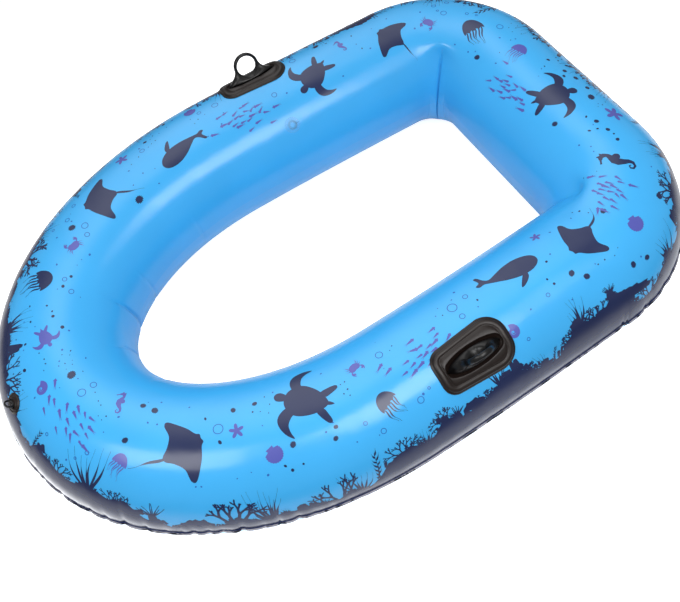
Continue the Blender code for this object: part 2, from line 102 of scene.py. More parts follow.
# Puckers of the outer seam: steps between them where the tube bends and where it is straight, how
# far each may run up the sheet, and how far its groove and its lift are felt beside it.
CLOSE_STEPS = (0.010, 0.034)
WIDE_STEPS = (0.040, 0.110)
PUCKER_REACHES = (0.010, 0.016, 0.022, 0.045)
PUCKER_SPAN = 0.03
LIFT_WIDTH = 0.007
LIFT_REACH = 0.010

# Swelling of the sheet between the puckers.
SWELL_HEIGHT = 0.0016
SWELL_REACH = 0.030

# Stern's inner corners: angles on the tube, in degrees, between which their creases deepen and
# then fade, the width of the crease line, the ridge above it, and what the port side has of both.
STARBOARD_CREASE = (129, 144)
PORT_CREASE = (138, 160)
CREASE_FADES = (205, 226)
CREASE_WIDTH = 0.0032
RIDGE_ANGLE = 128
RIDGE_SPAN = 9
RIDGE_WIDTH = 0.075
PORT_CREASE_SHARE = 0.35
PORT_RIDGE_SHARE = 0.3

# Mitre of the same corners: angles between which it sets in, turns back, fades and sharpens, its
# strength, and how blunt its line is before and after it sharpens.
MITRE_SETS_IN = (117, 139)
MITRE_TURNS = (140, 212)
MITRE_FADES = (214, 250)
MITRE_SHARPENS = (128, 158)
MITRE_STRENGTH = 0.95
MITRE_RETURN = 1.12
MITRE_BLUNT = 0.10
MITRE_SHARP = 0.006

# How far past its low end a fold of the inner wall still runs out, in degrees.
FOLD_RUN_OUT = 12

# Folds of the inner wall: ways along the tube and angles at the top and low end.
WALL_FOLDS = (
    Fold(1.930, 126.0, 1.947, 212.0, 0.0085, 0.0042),
    Fold(1.738, 134.0, 1.770, 210.0, 0.0058, 0.0040),
    Fold(2.056, 150.0, 2.070, 208.0, 0.0040, 0.0038),
    Fold(1.529, 138.0, 1.522, 205.0, 0.0070, 0.0048),
    Fold(1.335, 150.0, 1.330, 205.0, 0.0030, 0.0045),
    Fold(2.290, 152.0, 2.296, 208.0, 0.0024, 0.0045),
    Fold(3.190, 160.0, 3.188, 206.0, 0.0014, 0.0034),
    Fold(3.214, 168.0, 3.212, 206.0, 0.0011, 0.0034),
    Fold(3.045, 165.0, 3.040, 205.0, 0.0014, 0.0044),
    Fold(0.410, 158.0, 0.404, 205.0, 0.0016, 0.0044),
)


def linear(code):
    """An sRGB hex value as the linear colour that a shader takes."""
    channels = [int(code[place:place + 2], 16) / 255 for place in (1, 3, 5)]
    return tuple(c / 12.92 if c <= 0.04045 else ((c + 0.055) / 1.055) ** 2.4 for c in channels)


def half_width(x):
    """Half width of the tube's centreline at a station ahead of the stern corners."""
    if x > BOW_START:
        reach = min((x - BOW_START) / BOW_LENGTH, 1.0)
        return SIDE_Y * (1 - reach ** BOW_FULLNESS) ** (1 / BOW_FULLNESS)
    along = max((x - CORNER_END) / (BOW_START - CORNER_END), 0.0)
    return STERN_Y + (SIDE_Y - STERN_Y) * math.sin(along * math.pi / 2)


def port_route():
    """Fine points of the centreline's port half, from the middle of the stern to the bow."""
    points = []
    for step in range(ROUTE_POINTS):
        points.append(Vector((STERN_X, (STERN_Y - STERN_CORNER) * step / ROUTE_POINTS)))
    for step in range(ROUTE_POINTS):
        turn = math.pi / 2 * step / ROUTE_POINTS
        points.append(Vector((CORNER_END - STERN_CORNER * math.cos(turn),
                              STERN_Y - STERN_CORNER + STERN_CORNER * math.sin(turn))))
    for step in range(ROUTE_POINTS):
        x = CORNER_END + (BOW_START - CORNER_END) * step / ROUTE_POINTS
        points.append(Vector((x, half_width(x))))
    for step in range(4 * ROUTE_POINTS + 1):
        turn = math.pi / 2 * step / (4 * ROUTE_POINTS)
        points.append(Vector((BOW_START + BOW_LENGTH * math.sin(turn) ** (2 / BOW_FULLNESS),
                              SIDE_Y * max(math.cos(turn), 0.0) ** (2 / BOW_FULLNESS))))
    return points


def make_stations():
    """Even stations round the closed centreline, with the outward direction of each."""
    port = port_route()
    fine = port + [Vector((point.x, -point.y)) for point in port[-2:0:-1]]
    fine.append(fine[0])
    ways = [0.0]
    for start, end in zip(fine, fine[1:]):
        ways.append(ways[-1] + (end - start).length)
    places = []
    index = 0
    for step in range(STATIONS):
        way = ways[-1] * step / STATIONS
        while ways[index + 1] < way:
            index += 1
        share = (way - ways[index]) / (ways[index + 1] - ways[index])
        places.append(fine[index].lerp(fine[index + 1], share))
    stations = []
    for step, place in enumerate(places):
        along = (places[(step + 1) % STATIONS] - places[step - 1]).normalized()
        outward = Vector((-along.y, along.x))
        corner = -1.0
        if place.x < CORNER_END and abs(place.y) > STERN_Y - STERN_CORNER:
            corner = math.atan2(abs(place.y) - (STERN_Y - STERN_CORNER), CORNER_END - place.x)
        stations.append(Station(place, outward, ways[-1] * step / STATIONS, corner))
    return stations, ways[-1]


ROUTE, ROUTE_LENGTH = make_stations()


def split_way(way):
    """The station before a way round the route, and the share of a step by which it is passed."""
    steps = way % ROUTE_LENGTH / ROUTE_LENGTH * STATIONS
    return int(steps) % STATIONS, steps - int(steps)


def station_at(way):
    """The route at any way along it."""
    index, share = split_way(way)
    before = ROUTE[index]
    after = ROUTE[(index + 1) % STATIONS]
    corner = -1.0
    if before.corner >= 0 <= after.corner:
        corner = before.corner + (after.corner - before.corner) * share
    outward = before.outward.lerp(after.outward, share).normalized()
    return Station(before.place.lerp(after.place, share), outward, way, corner)


def way_of(x, side):
    """Way along the centreline at a station x ahead of the stern corners, on one side."""
    found = min((s for s in ROUTE if s.place.y * side > 0 and s.place.x > CORNER_END),
                key=lambda s: abs(s.place.x - x))
    return found.way


def soft_step(value, low, high):
    """Rises smoothly from 0 at low to 1 at high."""
    share = min(max((value - low) / (high - low), 0.0), 1.0)
    return share * share * (3 - 2 * share)


def curved(way):
    """How strongly the tube bends at a way: the outer seam only puckers where it does."""
    here = station_at(way).place
    if here.x < CORNER_END:
        return soft_step(abs(here.y), 0.10, 0.19)
    return soft_step(here.x, 0.10, 0.30) + 0.10


def make_puckers(seed, deepest):
    """Folds of the outer seam, closest where the tube bends."""
    rng = random.Random(seed)
    puckers = []
    way = 0.0
    while way < ROUTE_LENGTH:
        strength = curved(way)
        way += rng.uniform(*CLOSE_STEPS) if strength > 0.4 else rng.uniform(*WIDE_STEPS)
        depth = deepest * rng.uniform(0.12, 1.0) * min(strength, 1.0)
        reach = rng.choice(PUCKER_REACHES)
        lift = rng.choice((-1, 1)) * rng.uniform(0.0006, 0.0034) * min(strength + 0.1, 1.0)
        puckers.append(Pucker(way, depth, rng.uniform(0.0030, 0.0052), reach, lift))
    return puckers


def gap(way, other):
    """Distance between two ways round the closed route."""
    apart = abs(way - other) % ROUTE_LENGTH
    return min(apart, ROUTE_LENGTH - apart)


def seam_table(puckers):
    """At every station: the pucker depths by reach, and how far the flange is lifted."""
    table = []
    for station in ROUTE:
        depths = {}
        lifted = 0.0
        for pucker in puckers:
            apart = gap(station.way, pucker.way)
            if apart < PUCKER_SPAN:
                valley = pucker.depth * math.exp(-apart / pucker.width)
                depths[pucker.reach] = depths.get(pucker.reach, 0.0) + valley
                lifted += pucker.lift * math.exp(-(apart / LIFT_WIDTH) ** 2)
        table.append((depths, lifted))
    return table


class Hull:
    """The inflated surface: where a point of the sheet lies once the boat is full of air."""

    def __init__(self, settings):
        self.seam = seam_table(make_puckers(settings.seam_seed, settings.pucker_depth))
        self.crease = settings.crease_depth
        self.ridge = settings.ridge_height

    def pucker(self, way, across):
        """Inward depth and lift of the seam's folds at a place on the sheet."""
        index, share = split_way(way)
        inboard = max(across, 0.0)
        depth = 0.0
        lifted = 0.0
        for weight, (depths, lift) in ((1 - share, self.seam[index]),
                                       (share, self.seam[(index + 1) % STATIONS])):
            lifted += weight * lift * math.exp(-inboard / LIFT_REACH)
            for reach, value in depths.items():
                depth += weight * value * math.exp(-inboard / reach)
        swell = SWELL_HEIGHT * min(curved(way), 1.0) * math.exp(-inboard / SWELL_REACH)
        return depth - swell, lifted

    def wall_fold(self, station, angle):
        """Inward depth of the inner wall's short folds and of the stern creases' sharp line."""
        depth = 0.0
        for fold in WALL_FOLDS:
            if fold.top_angle < angle < fold.low_angle + FOLD_RUN_OUT:
                share = (angle - fold.top_angle) / (fold.low_angle - fold.top_angle)
                line = fold.top_way + (fold.low_way - fold.top_way) * share
                strength = soft_step(share, 0.0, 0.55) * (1 - soft_step(share, 0.95, 1.12))
                depth += fold.depth * strength * math.exp(-gap(station.way, line) / fold.width)
        if station.corner >= 0:
            apart = abs(station.corner - math.pi / 4) * STERN_CORNER
            strength = soft_step(angle, *STARBOARD_CREASE)
            ridge = math.exp(-((angle - RIDGE_ANGLE) / RIDGE_SPAN) ** 2)
            if station.place.y >= 0:
                strength = PORT_CREASE_SHARE * soft_step(angle, *PORT_CREASE)
                ridge *= PORT_RIDGE_SHARE
            strength *= 1 - soft_step(angle, *CREASE_FADES)
            depth += self.crease * strength * math.exp(-apart / CREASE_WIDTH)
            depth -= self.ridge * ridge * math.exp(-(apart / RIDGE_WIDTH) ** 2)
        return depth

    def mitre(self, station, angle):
        """The stern corners' inner halves meet nearly square instead of round."""
        if station.corner < 0:
            return 0.0
        blunt = MITRE_SHARP + MITRE_BLUNT * (1 - soft_step(angle, *MITRE_SHARPENS))
        off = max(math.pi / 4 - math.hypot(math.pi / 4 - station.corner, blunt), 0.0)
        radius = STERN_CORNER + TUBE_RADIUS * math.cos(math.radians(angle))
        strength = MITRE_STRENGTH * soft_step(angle, *MITRE_SETS_IN)
        strength *= 1 - MITRE_RETURN * soft_step(angle, *MITRE_TURNS)
        strength *= 1 - soft_step(angle, *MITRE_FADES)
        return radius * (1 / math.cos(off) - 1) * strength

    def place(self, way, across, lift=0.0, side=1):
        """A point of the sheet in space; side is 1 on the upper skin and -1 on the lower."""
        station = station_at(way)
        depth, lifted = self.pucker(way, across)
        if across < 0:
            radius = TUBE_RADIUS - across - depth
            height = SEAM_HALF * side + lift * side + lifted * (1 - across / SEAM_OUTER)
            height -= SEAM_DROOP * (across / SEAM_OUTER) ** 2
            point = station.place + station.outward * radius
            return Vector((point.x, point.y, TUBE_HEIGHT + height))
        turn = across / TUBE_RADIUS
        angle = math.degrees(turn)
        radius = TUBE_RADIUS + lift - depth
        if side < 0:
            angle = 360.0 - angle
            radius -= LAP_STEP * (1 - soft_step(angle, 180.0, 188.0))
        radius -= self.wall_fold(station, angle)
        rise = radius * math.sin(turn)
        if turn < 1:
            rise = max(rise, SEAM_HALF + lift)
        plan = radius * math.cos(turn) + self.mitre(station, angle)
        point = station.place + station.outward * plan
        return Vector((point.x, point.y, TUBE_HEIGHT + rise * side + lifted))


def finish(name, shape, materials, replaced=(), wall=0.0):
    """Makes a piece of a bmesh, gives it its materials and rides it on the hull; wall is the
    thickness that a film is given inwards."""
    mesh = bpy.data.meshes.new(name)
    open_edges = {edge.index for edge in shape.edges if edge.is_boundary} if wall else set()
    shape.to_mesh(mesh)
    shape.free()
    mesh.shade_smooth()
    for edge in mesh.edges:
        edge.use_edge_sharp = edge.index in open_edges
    for material in materials:
        mesh.materials.append(material)
    piece = bpy.data.objects.new(name, mesh)
    bpy.context.scene.collection.objects.link(piece)
    if wall:
        thick = piece.modifiers.new("film", "SOLIDIFY")
        thick.thickness = wall
        thick.offset = -1.0
    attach(piece, "hull")
    if replaced:
        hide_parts(*replaced)
    return piece


def add_node(tree, kind, inputs=None, **settings):
    """Adds a node; an input given as a socket is linked, any other value is set on it."""
    node = tree.nodes.new(kind)
    for name, value in settings.items():
        setattr(node, name, value)
    for name, value in (inputs or {}).items():
        if isinstance(value, bpy.types.NodeSocket):
            tree.links.new(value, node.inputs[name])
        else:
            node.inputs[name].default_value = value
    return node


def start_material(name, **values):
    """A material with one shader, whose plain values are set on its own sockets."""
    material = bpy.data.materials.new(name)
    material.use_nodes = True
    tree = material.node_tree
    tree.nodes.clear()
    named = {key.replace("_", " "): value for key, value in values.items()}
    shader = add_node(tree, "ShaderNodeBsdfPrincipled", named)
    add_node(tree, "ShaderNodeOutputMaterial", {"Surface": shader.outputs["BSDF"]})
    return material, tree, shader


def blend_colours(tree, factor, first, second):
    """Colour socket that goes from the first colour to the second with a factor."""
    ends = {0: factor, 6: (*first, 1.0), 7: (*second, 1.0)}
    return add_node(tree, "ShaderNodeMix", ends, data_type="RGBA").outputs[2]


def shade(colour, factor):
    """A colour made darker or paler."""
    return tuple(min(channel * factor, 1.0) for channel in colour)


# Roughness of the printed film, and refractive indices of plasticised PVC as such a film, as a
# moulding and as clear sheet.  The film's is matched to its gloss.
FILM_ROUGHNESS = 0.20
FILM_IOR = 1.47
MOULDED_IOR = 1.52
CLEAR_IOR = 1.53

# Scales of the patterns, in patches per metre: clouds in the film's colour and in its gloss, waves
# of the sheet under air pressure, grain, strokes of painted shadow and sheen on the pressed weld,
# and clouds on mouldings and in the clear sheet; and the size of the mouldings' grain, in metres.
# The grains are coarser than the real ones of about 0.2 mm, which would not show.
FILM_CLOUDS = 7.0
GLOSS_CLOUDS = 21.0
FILM_WAVES = 16.0
FILM_GRAIN = 620.0
WELD_STROKES = 42.0
MOULDED_CLOUDS = 60.0
CLEAR_CLOUDS = 12.0
PATCH_GRAIN = 0.0011
RING_GRAIN = 0.0016


def film_material(name, colour, drift=0.06):
    """Calendered PVC film: even colour, soft gloss, a faint grain and the slight waves of a
    sheet under air pressure, which break up its broad highlights."""
    material, tree, shader = start_material(name, Roughness=FILM_ROUGHNESS, IOR=FILM_IOR)
    at = add_node(tree, "ShaderNodeTexCoord").outputs["Object"]
    cloud = add_node(tree, "ShaderNodeTexNoise", {
        "Vector": at, "Scale": FILM_CLOUDS, "Detail": 2.0})
    tone = blend_colours(tree, cloud.outputs["Fac"], shade(colour, 1 - drift), shade(colour, 1 + drift))
    tree.links.new(tone, shader.inputs["Base Color"])
    gloss = add_node(tree, "ShaderNodeTexNoise", {
        "Vector": at, "Scale": GLOSS_CLOUDS, "Detail": 3.0})
    rough = add_node(tree, "ShaderNodeMapRange", {
        "Value": gloss.outputs["Fac"], "To Min": FILM_ROUGHNESS - 0.05, "To Max": FILM_ROUGHNESS + 0.06})
    tree.links.new(rough.outputs["Result"], shader.inputs["Roughness"])
    waves = add_node(tree, "ShaderNodeTexNoise", {
        "Vector": at, "Scale": FILM_WAVES, "Detail": 1.0})
    broad = add_node(tree, "ShaderNodeBump", {
        "Height": waves.outputs["Fac"], "Strength": 0.30, "Distance": 0.004})
    grain = add_node(tree, "ShaderNodeTexNoise", {
        "Vector": at, "Scale": FILM_GRAIN, "Detail": 1.0})
    fine = add_node(tree, "ShaderNodeBump", {
        "Height": grain.outputs["Fac"], "Strength": 0.12, "Distance": 0.00015,
        "Normal": broad.outputs["Normal"]})
    tree.links.new(fine.outputs["Normal"], shader.inputs["Normal"])
    return material


def weld_material(name, dark, pale):
    """Heat-pressed weld of two printed films, with painted light in its colour: noise scatters dark
    strokes of navy ink with painted shadow and pale strokes of painted sheen along it."""
    material, tree, shader = start_material(
        name, Roughness=0.45, IOR=FILM_IOR, Specular_IOR_Level=0.2)
    at = add_node(tree, "ShaderNodeTexCoord").outputs["Object"]
    # Noise whose strokes stand in for painted shadow in the folds and painted sheen between them.
    folds = add_node(tree, "ShaderNodeTexNoise", {
        "Vector": at, "Scale": WELD_STROKES, "Detail": 3.0, "Roughness": 0.7})
    strokes = add_node(tree, "ShaderNodeMapRange", {
        "Value": folds.outputs["Fac"], "From Min": 0.42, "From Max": 0.52})
    tone = blend_colours(tree, strokes.outputs["Result"], dark, pale)
    tree.links.new(tone, shader.inputs["Base Color"])
    return material


def moulded_material(name, colour, roughness, grain_size, grain_depth):
    """Injection-moulded soft PVC: a satin face with a fine spark-eroded grain, paler where the
    grain catches the light."""
    material, tree, shader = start_material(name, IOR=MOULDED_IOR, Specular_IOR_Level=0.36)
    at = add_node(tree, "ShaderNodeTexCoord").outputs["Object"]
    cloud = add_node(tree, "ShaderNodeTexNoise", {
        "Vector": at, "Scale": MOULDED_CLOUDS, "Detail": 3.0})
    tone = blend_colours(tree, cloud.outputs["Fac"], shade(colour, 0.80), shade(colour, 1.25))
    tree.links.new(tone, shader.inputs["Base Color"])
    rough = add_node(tree, "ShaderNodeMapRange", {
        "Value": cloud.outputs["Fac"], "To Min": roughness - 0.05, "To Max": roughness + 0.07})
    tree.links.new(rough.outputs["Result"], shader.inputs["Roughness"])
    grain = add_node(tree, "ShaderNodeTexNoise", {
        "Vector": at, "Scale": 1 / grain_size, "Detail": 2.0})
    bump = add_node(tree, "ShaderNodeBump", {
        "Height": grain.outputs["Fac"], "Strength": 0.5, "Distance": grain_depth})
    tree.links.new(bump.outputs["Normal"], shader.inputs["Normal"])
    return material


def clear_material(name, colour, roughness, alpha):
    """Clear plasticised PVC: mostly seen through, with a faint tint and a soft film gloss."""
    material, tree, shader = start_material(name, Roughness=roughness, IOR=CLEAR_IOR, Alpha=alpha)
    at = add_node(tree, "ShaderNodeTexCoord").outputs["Object"]
    cloud = add_node(tree, "ShaderNodeTexNoise", {
        "Vector": at, "Scale": CLEAR_CLOUDS, "Detail": 1.0})
    tone = blend_colours(tree, cloud.outputs["Fac"], shade(colour, 0.97), colour)
    tree.links.new(tone, shader.inputs["Base Color"])
    return material


# Height of the printed sea bed above the outer seam at ways along the tube, as a factor, and the
# lowest and highest that it comes out.
SEA_BED = ((0.00, 1.22), (0.14, 1.30), (0.30, 1.38), (0.45, 1.12), (0.62, 1.22), (0.80, 1.05), (0.95, 0.85),
           (1.10, 0.62), (1.25, 0.42), (1.42, 0.44), (1.52, 1.00), (1.62, 1.50), (1.72, 1.82), (2.15, 1.80),
           (2.40, 1.50), (2.90, 1.62), (3.12, 1.72), (3.25, 1.40), (3.38, 1.22), (3.45, 1.22))
SEA_BED_LIMITS = (0.016, 0.165)


def along(table, way):
    """Value of a table of (way, value) pairs at a way along the tube."""
    for (low, first), (high, second) in zip(table, table[1:]):
        if low <= way <= high:
            return first + (second - first) * (way - low) / (high - low)
    return table[0][1]


def reef_heights(seed, base):
    """Height of the printed sea bed above the outer seam, at every station."""
    rng = random.Random(seed)
    humps = []
    way = 0.0
    while way < ROUTE_LENGTH:
        humps.append((way, rng.uniform(0.030, 0.080), rng.uniform(-0.034, 0.030)))
        way += rng.uniform(0.050, 0.110)
    knobs = [(rng.uniform(0, ROUTE_LENGTH), rng.uniform(0.005, 0.014), rng.uniform(-0.003, 0.005))
             for _ in range(int(ROUTE_LENGTH / 0.022))]
    heights = []
    for station in ROUTE:
        height = base * along(SEA_BED, station.way)
        for centre, width, rise in humps + knobs:
            apart = gap(station.way, centre) / width
            if apart < 2:
                height += rise * math.exp(-(apart * 1.8) ** 2)
        heights.append(min(max(height, SEA_BED_LIMITS[0]), SEA_BED_LIMITS[1]))
    return heights


OARLOCK_WAYS = {side: way_of(OARLOCK_STATION, side) for side in (1, -1)}

# Rows of a skin: shares of the flange's width, the last row of the weld, steps over the reef, over
# the film above it and over the lower skin, and how the rows crowd towards the outer seam.
FLANGE_SHARES = (1.0, 0.7, 0.4, 0.15)
WELD_ROWS = 3
REEF_STEPS = 11
OPEN_STEPS = 32
LOWER_STEPS = 30
REEF_CROWDING = 1.35
LOWER_CROWDING = 1.25


def skin_rows(upper):
    """Rows across a skin as (region, value): flange, share of the reef, share above it, and the
    upper skin's edge, which laps over the lower one at the inner seam."""
    rows = [("edge", 0.0)]
    rows += [("flange", share) for share in FLANGE_SHARES]
    if upper:
        rows += [("reef", (step / REEF_STEPS) ** REEF_CROWDING) for step in range(REEF_STEPS + 1)]
        rows += [("open", step / OPEN_STEPS) for step in range(1, OPEN_STEPS + 1)]
        rows += [("lap", share) for share in (0.5, 1.0)]
    else:
        rows += [("open", (step / LOWER_STEPS) ** LOWER_CROWDING) for step in range(LOWER_STEPS + 1)]
    return rows


def row_across(row, reef):
    """Way across the sheet of one row at a station."""
    region, value = row
    if region == "edge":
        return -SEAM_OUTER
    if region == "flange":
        return -SEAM_OUTER * value
    if region == "reef":
        return reef * value
    if region == "lap":
        return HALF_TURN + SEAM_LAP * value
    return reef + (HALF_TURN - reef) * value


def build_skin(name, hull, side, heights, materials, replaced):
    """One skin as a grid laid round the tube: rows across it, stations along it."""
    rows = skin_rows(side > 0)
    steps = len(rows) - 1
    shape = bmesh.new()
    bmesh.ops.create_grid(shape, x_segments=STATIONS, y_segments=steps, size=0.5)
    row_of = {}
    for vert in shape.verts:
        station = round((vert.co.x + 0.5) * STATIONS)
        row = round((vert.co.y + 0.5) * steps)
        row_of[vert] = row
        reef = heights[station % STATIONS] if side > 0 else 0.0
        across = row_across(rows[row], reef)
        vert.co = hull.place(ROUTE_LENGTH * station / STATIONS, across, side=side)
        if rows[row][0] == "edge":
            vert.co.z -= 2 * SEAM_HALF * side
    if side > 0:
        reef_end = max(index for index, row in enumerate(rows) if row[0] == "reef")
        for face in shape.faces:
            highest = max(row_of[vert] for vert in face.verts)
            if highest <= WELD_ROWS:
                face.material_index = 2
            elif highest <= reef_end:
                face.material_index = 1
    bmesh.ops.remove_doubles(shape, verts=shape.verts, dist=MERGE)
    bmesh.ops.recalc_face_normals(shape, faces=shape.faces)
    top = max(shape.faces, key=lambda face: face.calc_center_median().z * side)
    if top.normal.z * side < 0:
        bmesh.ops.reverse_faces(shape, faces=shape.faces)
    return finish(name, shape, materials, replaced, FILM_THICKNESS)


def outline_shape(points):
    """A flat filled shape with this closed outline."""
    shape = bmesh.new()
    made = bmesh.ops.create_circle(shape, cap_ends=False, segments=len(points), radius=1.0)
    for vert, point in zip(made["verts"], points):
        vert.co = Vector((point[0], point[1], 0.0))
    bmesh.ops.contextual_create(shape, geom=shape.edges[:])
    return shape


def rounded(points, steps=4):
    """Draws a smooth closed outline through a few points."""
    outline = []
    count = len(points)
    for index in range(count):
        p0, p1, p2, p3 = (Vector(points[(index + shift) % count]) for shift in (-1, 0, 1, 2))
        for step in range(steps):
            t = step / steps
            outline.append(0.5 * (2 * p1 + (p2 - p0) * t + (2 * p0 - 5 * p1 + 4 * p2 - p3) * t * t
                                  + (3 * p1 - p0 - 3 * p2 + p3) * t ** 3))
    return outline


def cut_out(points, unit):
    """A flat shape with a smooth outline through points given in hundredths of its size."""
    return outline_shape(rounded([(x * unit, y * unit) for x, y in points]))


def flipped(points):
    """The mirror image of an outline, drawn the same way round."""
    return [(-x, y) for x, y in points[::-1]]


def mirrored(half):
    """Closes a half outline, drawn from nose to tail on one side, with its mirror image."""
    return half + [point for point in flipped(half) if abs(point[0]) > 0.001]


def ribbon(spine, widths):
    """A flat ribbon along a spine, with a width at each of its points."""
    shape = bmesh.new()
    steps = len(spine) - 1
    bmesh.ops.create_grid(shape, x_segments=1, y_segments=steps, size=0.5)
    for vert in shape.verts:
        row = round((vert.co.y + 0.5) * steps)
        hand = 1 if vert.co.x > 0 else -1
        ahead = spine[min(row + 1, steps)] - spine[max(row - 1, 0)]
        across = Vector((ahead.y, -ahead.x)).normalized()
        point = spine[row] + across * widths[row] / 2 * hand
        vert.co = Vector((point.x, point.y, 0.0))
    return shape


def curl(start, heading, length, bend, sway, steps):
    """Spine of a stem: it turns evenly by bend, in degrees, and sways to and fro."""
    spine = [Vector(start)]
    for step in range(steps):
        share = (step + 0.5) / steps
        turn = math.radians(heading + bend * share + sway * math.sin(share * 2 * math.pi))
        spine.append(spine[-1] + Vector((math.cos(turn), math.sin(turn))) * length / steps)
    return spine


def taper(width, steps, root=1.0, tip=0.1):
    """Widths of a leaf or stem from its root to its tip, fullest at a third of its length."""
    widths = []
    for step in range(steps + 1):
        share = step / steps
        belly = math.sin(math.pi * min(share * 1.15 + 0.22, 1.0)) ** 0.8
        widths.append(width * max(belly, tip if share > 0.5 else root * 0.6))
    return widths


# Drawings of the print.  Each takes a source of random numbers and a size in millimetres, and
# gives its flat shapes.
def grass(rng, height):
    """A tuft of sea grass: blades that fan out from one root."""
    parts = []
    blades = rng.randint(6, 10)
    spread = rng.uniform(60, 100) / blades
    sweep = rng.uniform(-20, 20)
    for blade in range(blades):
        off = blade - (blades - 1) / 2
        length = height * rng.uniform(0.55, 1.0)
        spine = curl((off * 1.6, -6.0), 90 - off * spread, length, off * spread * 0.5 + sweep,
                     rng.uniform(-12, 12), 10)
        parts.append(ribbon(spine, taper(rng.uniform(2.8, 4.4) * (0.5 + height / 110), 10)))
    return parts


def wrack(rng, height):
    """Forked seaweed, whose flat stems split in two again and again."""
    parts = []
    stout = rng.choice((0.060, 0.085))
    stems = [(Vector((off * height * 0.12, -6.0)), 90 - off * rng.uniform(18, 30), height * 0.30,
              height * stout, 3) for off in (-1.5, -0.5, 0.5, 1.5)]
    while stems:
        start, heading, length, width, forks = stems.pop()
        spine = curl(start, heading, length, rng.uniform(-30, 30), 0.0, 4)
        widths = [width, width * 0.88, width * 0.80, width * 0.78, width * 0.80]
        parts.append(ribbon(spine, widths if forks else [*widths[:3], width * 0.95, width * 0.45]))
        turn = math.degrees(math.atan2(*(spine[-1] - spine[-2]).yx))
        for hand in (1, -1) if forks else ():
            stems.append((spine[-2], turn + hand * rng.uniform(16, 30), length * rng.uniform(0.50, 0.90),
                          max(width * 0.78, 2.0), forks - 1))
    return parts


def kelp(rng, height):
    """A kelp stem with leaves on both sides."""
    bend = rng.uniform(-30, 30)
    spine = curl((0.0, -4.0), 90 - bend / 2, height, bend, rng.uniform(-14, 14), 12)
    parts = [ribbon(spine, taper(3.0, 12, tip=0.25))]
    for joint in range(2, 12):
        hand = 1 if joint % 2 else -1
        ahead = spine[joint] - spine[joint - 1]
        heading = math.degrees(math.atan2(ahead.y, ahead.x)) + hand * rng.uniform(35, 60)
        leaf = curl(spine[joint], heading, height * rng.uniform(0.17, 0.27), -hand * 40, 0.0, 5)
        parts.append(ribbon(leaf, taper(height * 0.055, 5, root=0.3)))
    return parts


def sponge(rng, height):
    """Tube sponges: a cluster of round-ended columns."""
    parts = []
    x = -rng.uniform(10, 16)
    while x < 14:
        width = rng.uniform(7, 12)
        tall = height * rng.uniform(0.45, 1.0)
        spine = curl((x, -5.0), 90 + x * 1.2, tall, rng.uniform(-14, 14), 0.0, 7)
        widths = [width * (0.72 + 0.28 * step / 7) for step in range(7)] + [width * 0.55]
        parts.append(ribbon(spine, widths))
        x += width * 0.9
    return parts


def anemone(rng, height):
    """An anemone: a stout foot under a crown of short arms."""
    foot = rounded([(-9, -5), (-7, height * 0.45), (7, height * 0.45), (9, -5)])
    parts = [outline_shape(foot)]
    for arm in range(9):
        lean = 150 - arm * 15
        spine = curl(((4 - arm) * -1.6, height * 0.42), lean, height * rng.uniform(0.4, 0.6),
                     rng.uniform(-30, 30), 0.0, 5)
        parts.append(ribbon(spine, taper(2.6, 5, tip=0.5)))
    return parts


def boulder(rng, height):
    """A knobbly stone that stands out of the sea bed."""
    width = height * rng.uniform(0.7, 1.1)
    count = 22
    points = []
    for step in range(count + 1):
        turn = math.pi * step / count
        knob = 1 + 0.07 * math.sin(turn * rng.choice((9, 11, 13)))
        points.append((width * math.cos(turn) * knob, height * 0.62 * math.sin(turn) ** 0.7 * knob - 5))
    return [outline_shape(points)]


def fan_shell(rng, size):
    """A scallop shell seen flat, with its ears and ribs."""
    points = [(-size * 0.10, -size * 0.42), (-size * 0.24, -size * 0.42), (-size * 0.20, -size * 0.28)]
    for step in range(29):
        turn = math.radians(205 - 230 * step / 28)
        scallop = 1 + 0.035 * math.cos(step * math.pi)
        points.append((size * 0.5 * math.cos(turn) * scallop,
                       size * 0.5 * math.sin(turn) * scallop + size * 0.02))
    points += [(size * 0.20, -size * 0.28), (size * 0.24, -size * 0.42), (size * 0.10, -size * 0.42)]
    return [outline_shape(points)]


def star(rng, size):
    """A starfish with five soft arms."""
    points = []
    bend = rng.uniform(-0.15, 0.15)
    for step in range(60):
        turn = 2 * math.pi * step / 60
        arm = abs(math.cos(2.5 * turn)) ** 1.7
        radius = size / 2 * (0.36 + 0.64 * arm)
        points.append((radius * math.cos(turn + bend * arm), radius * math.sin(turn + bend * arm)))
    return [outline_shape(points)]


def turtle(rng, size):
    """A sea turtle from above."""
    shell = mirrored([(0, 34), (13, 31), (24, 19), (26, 4), (19, -17), (8, -31), (0, -36)])
    head = mirrored([(0, 52), (6, 49), (8, 42), (5, 32), (0, 28)])
    fin = [(16, 25), (30, 34), (44, 32), (56, 18), (60, 2), (52, 10), (42, 16), (30, 15), (22, 12)]
    back = [(15, -20), (24, -30), (30, -42), (26, -46), (16, -38), (9, -29)]
    tail = mirrored([(0, -32), (3, -36), (0, -45)])
    shapes = [shell, head, fin, flipped(fin), back, flipped(back), tail]
    return [cut_out(one, size / 100) for one in shapes]


def ray(rng, size):
    """A ray from above, with its long whip tail."""
    unit = size / 100
    body = mirrored([(0, 36), (7, 37), (12, 31), (30, 20), (54, -4), (50, -12), (30, -10), (14, -20),
                     (6, -30), (0, -33)])
    tail = curl((0.0, -28 * unit), 270, 62 * unit, rng.uniform(-40, 40), 12, 10)
    return [cut_out(body, unit), ribbon(tail, taper(5 * unit, 10))]


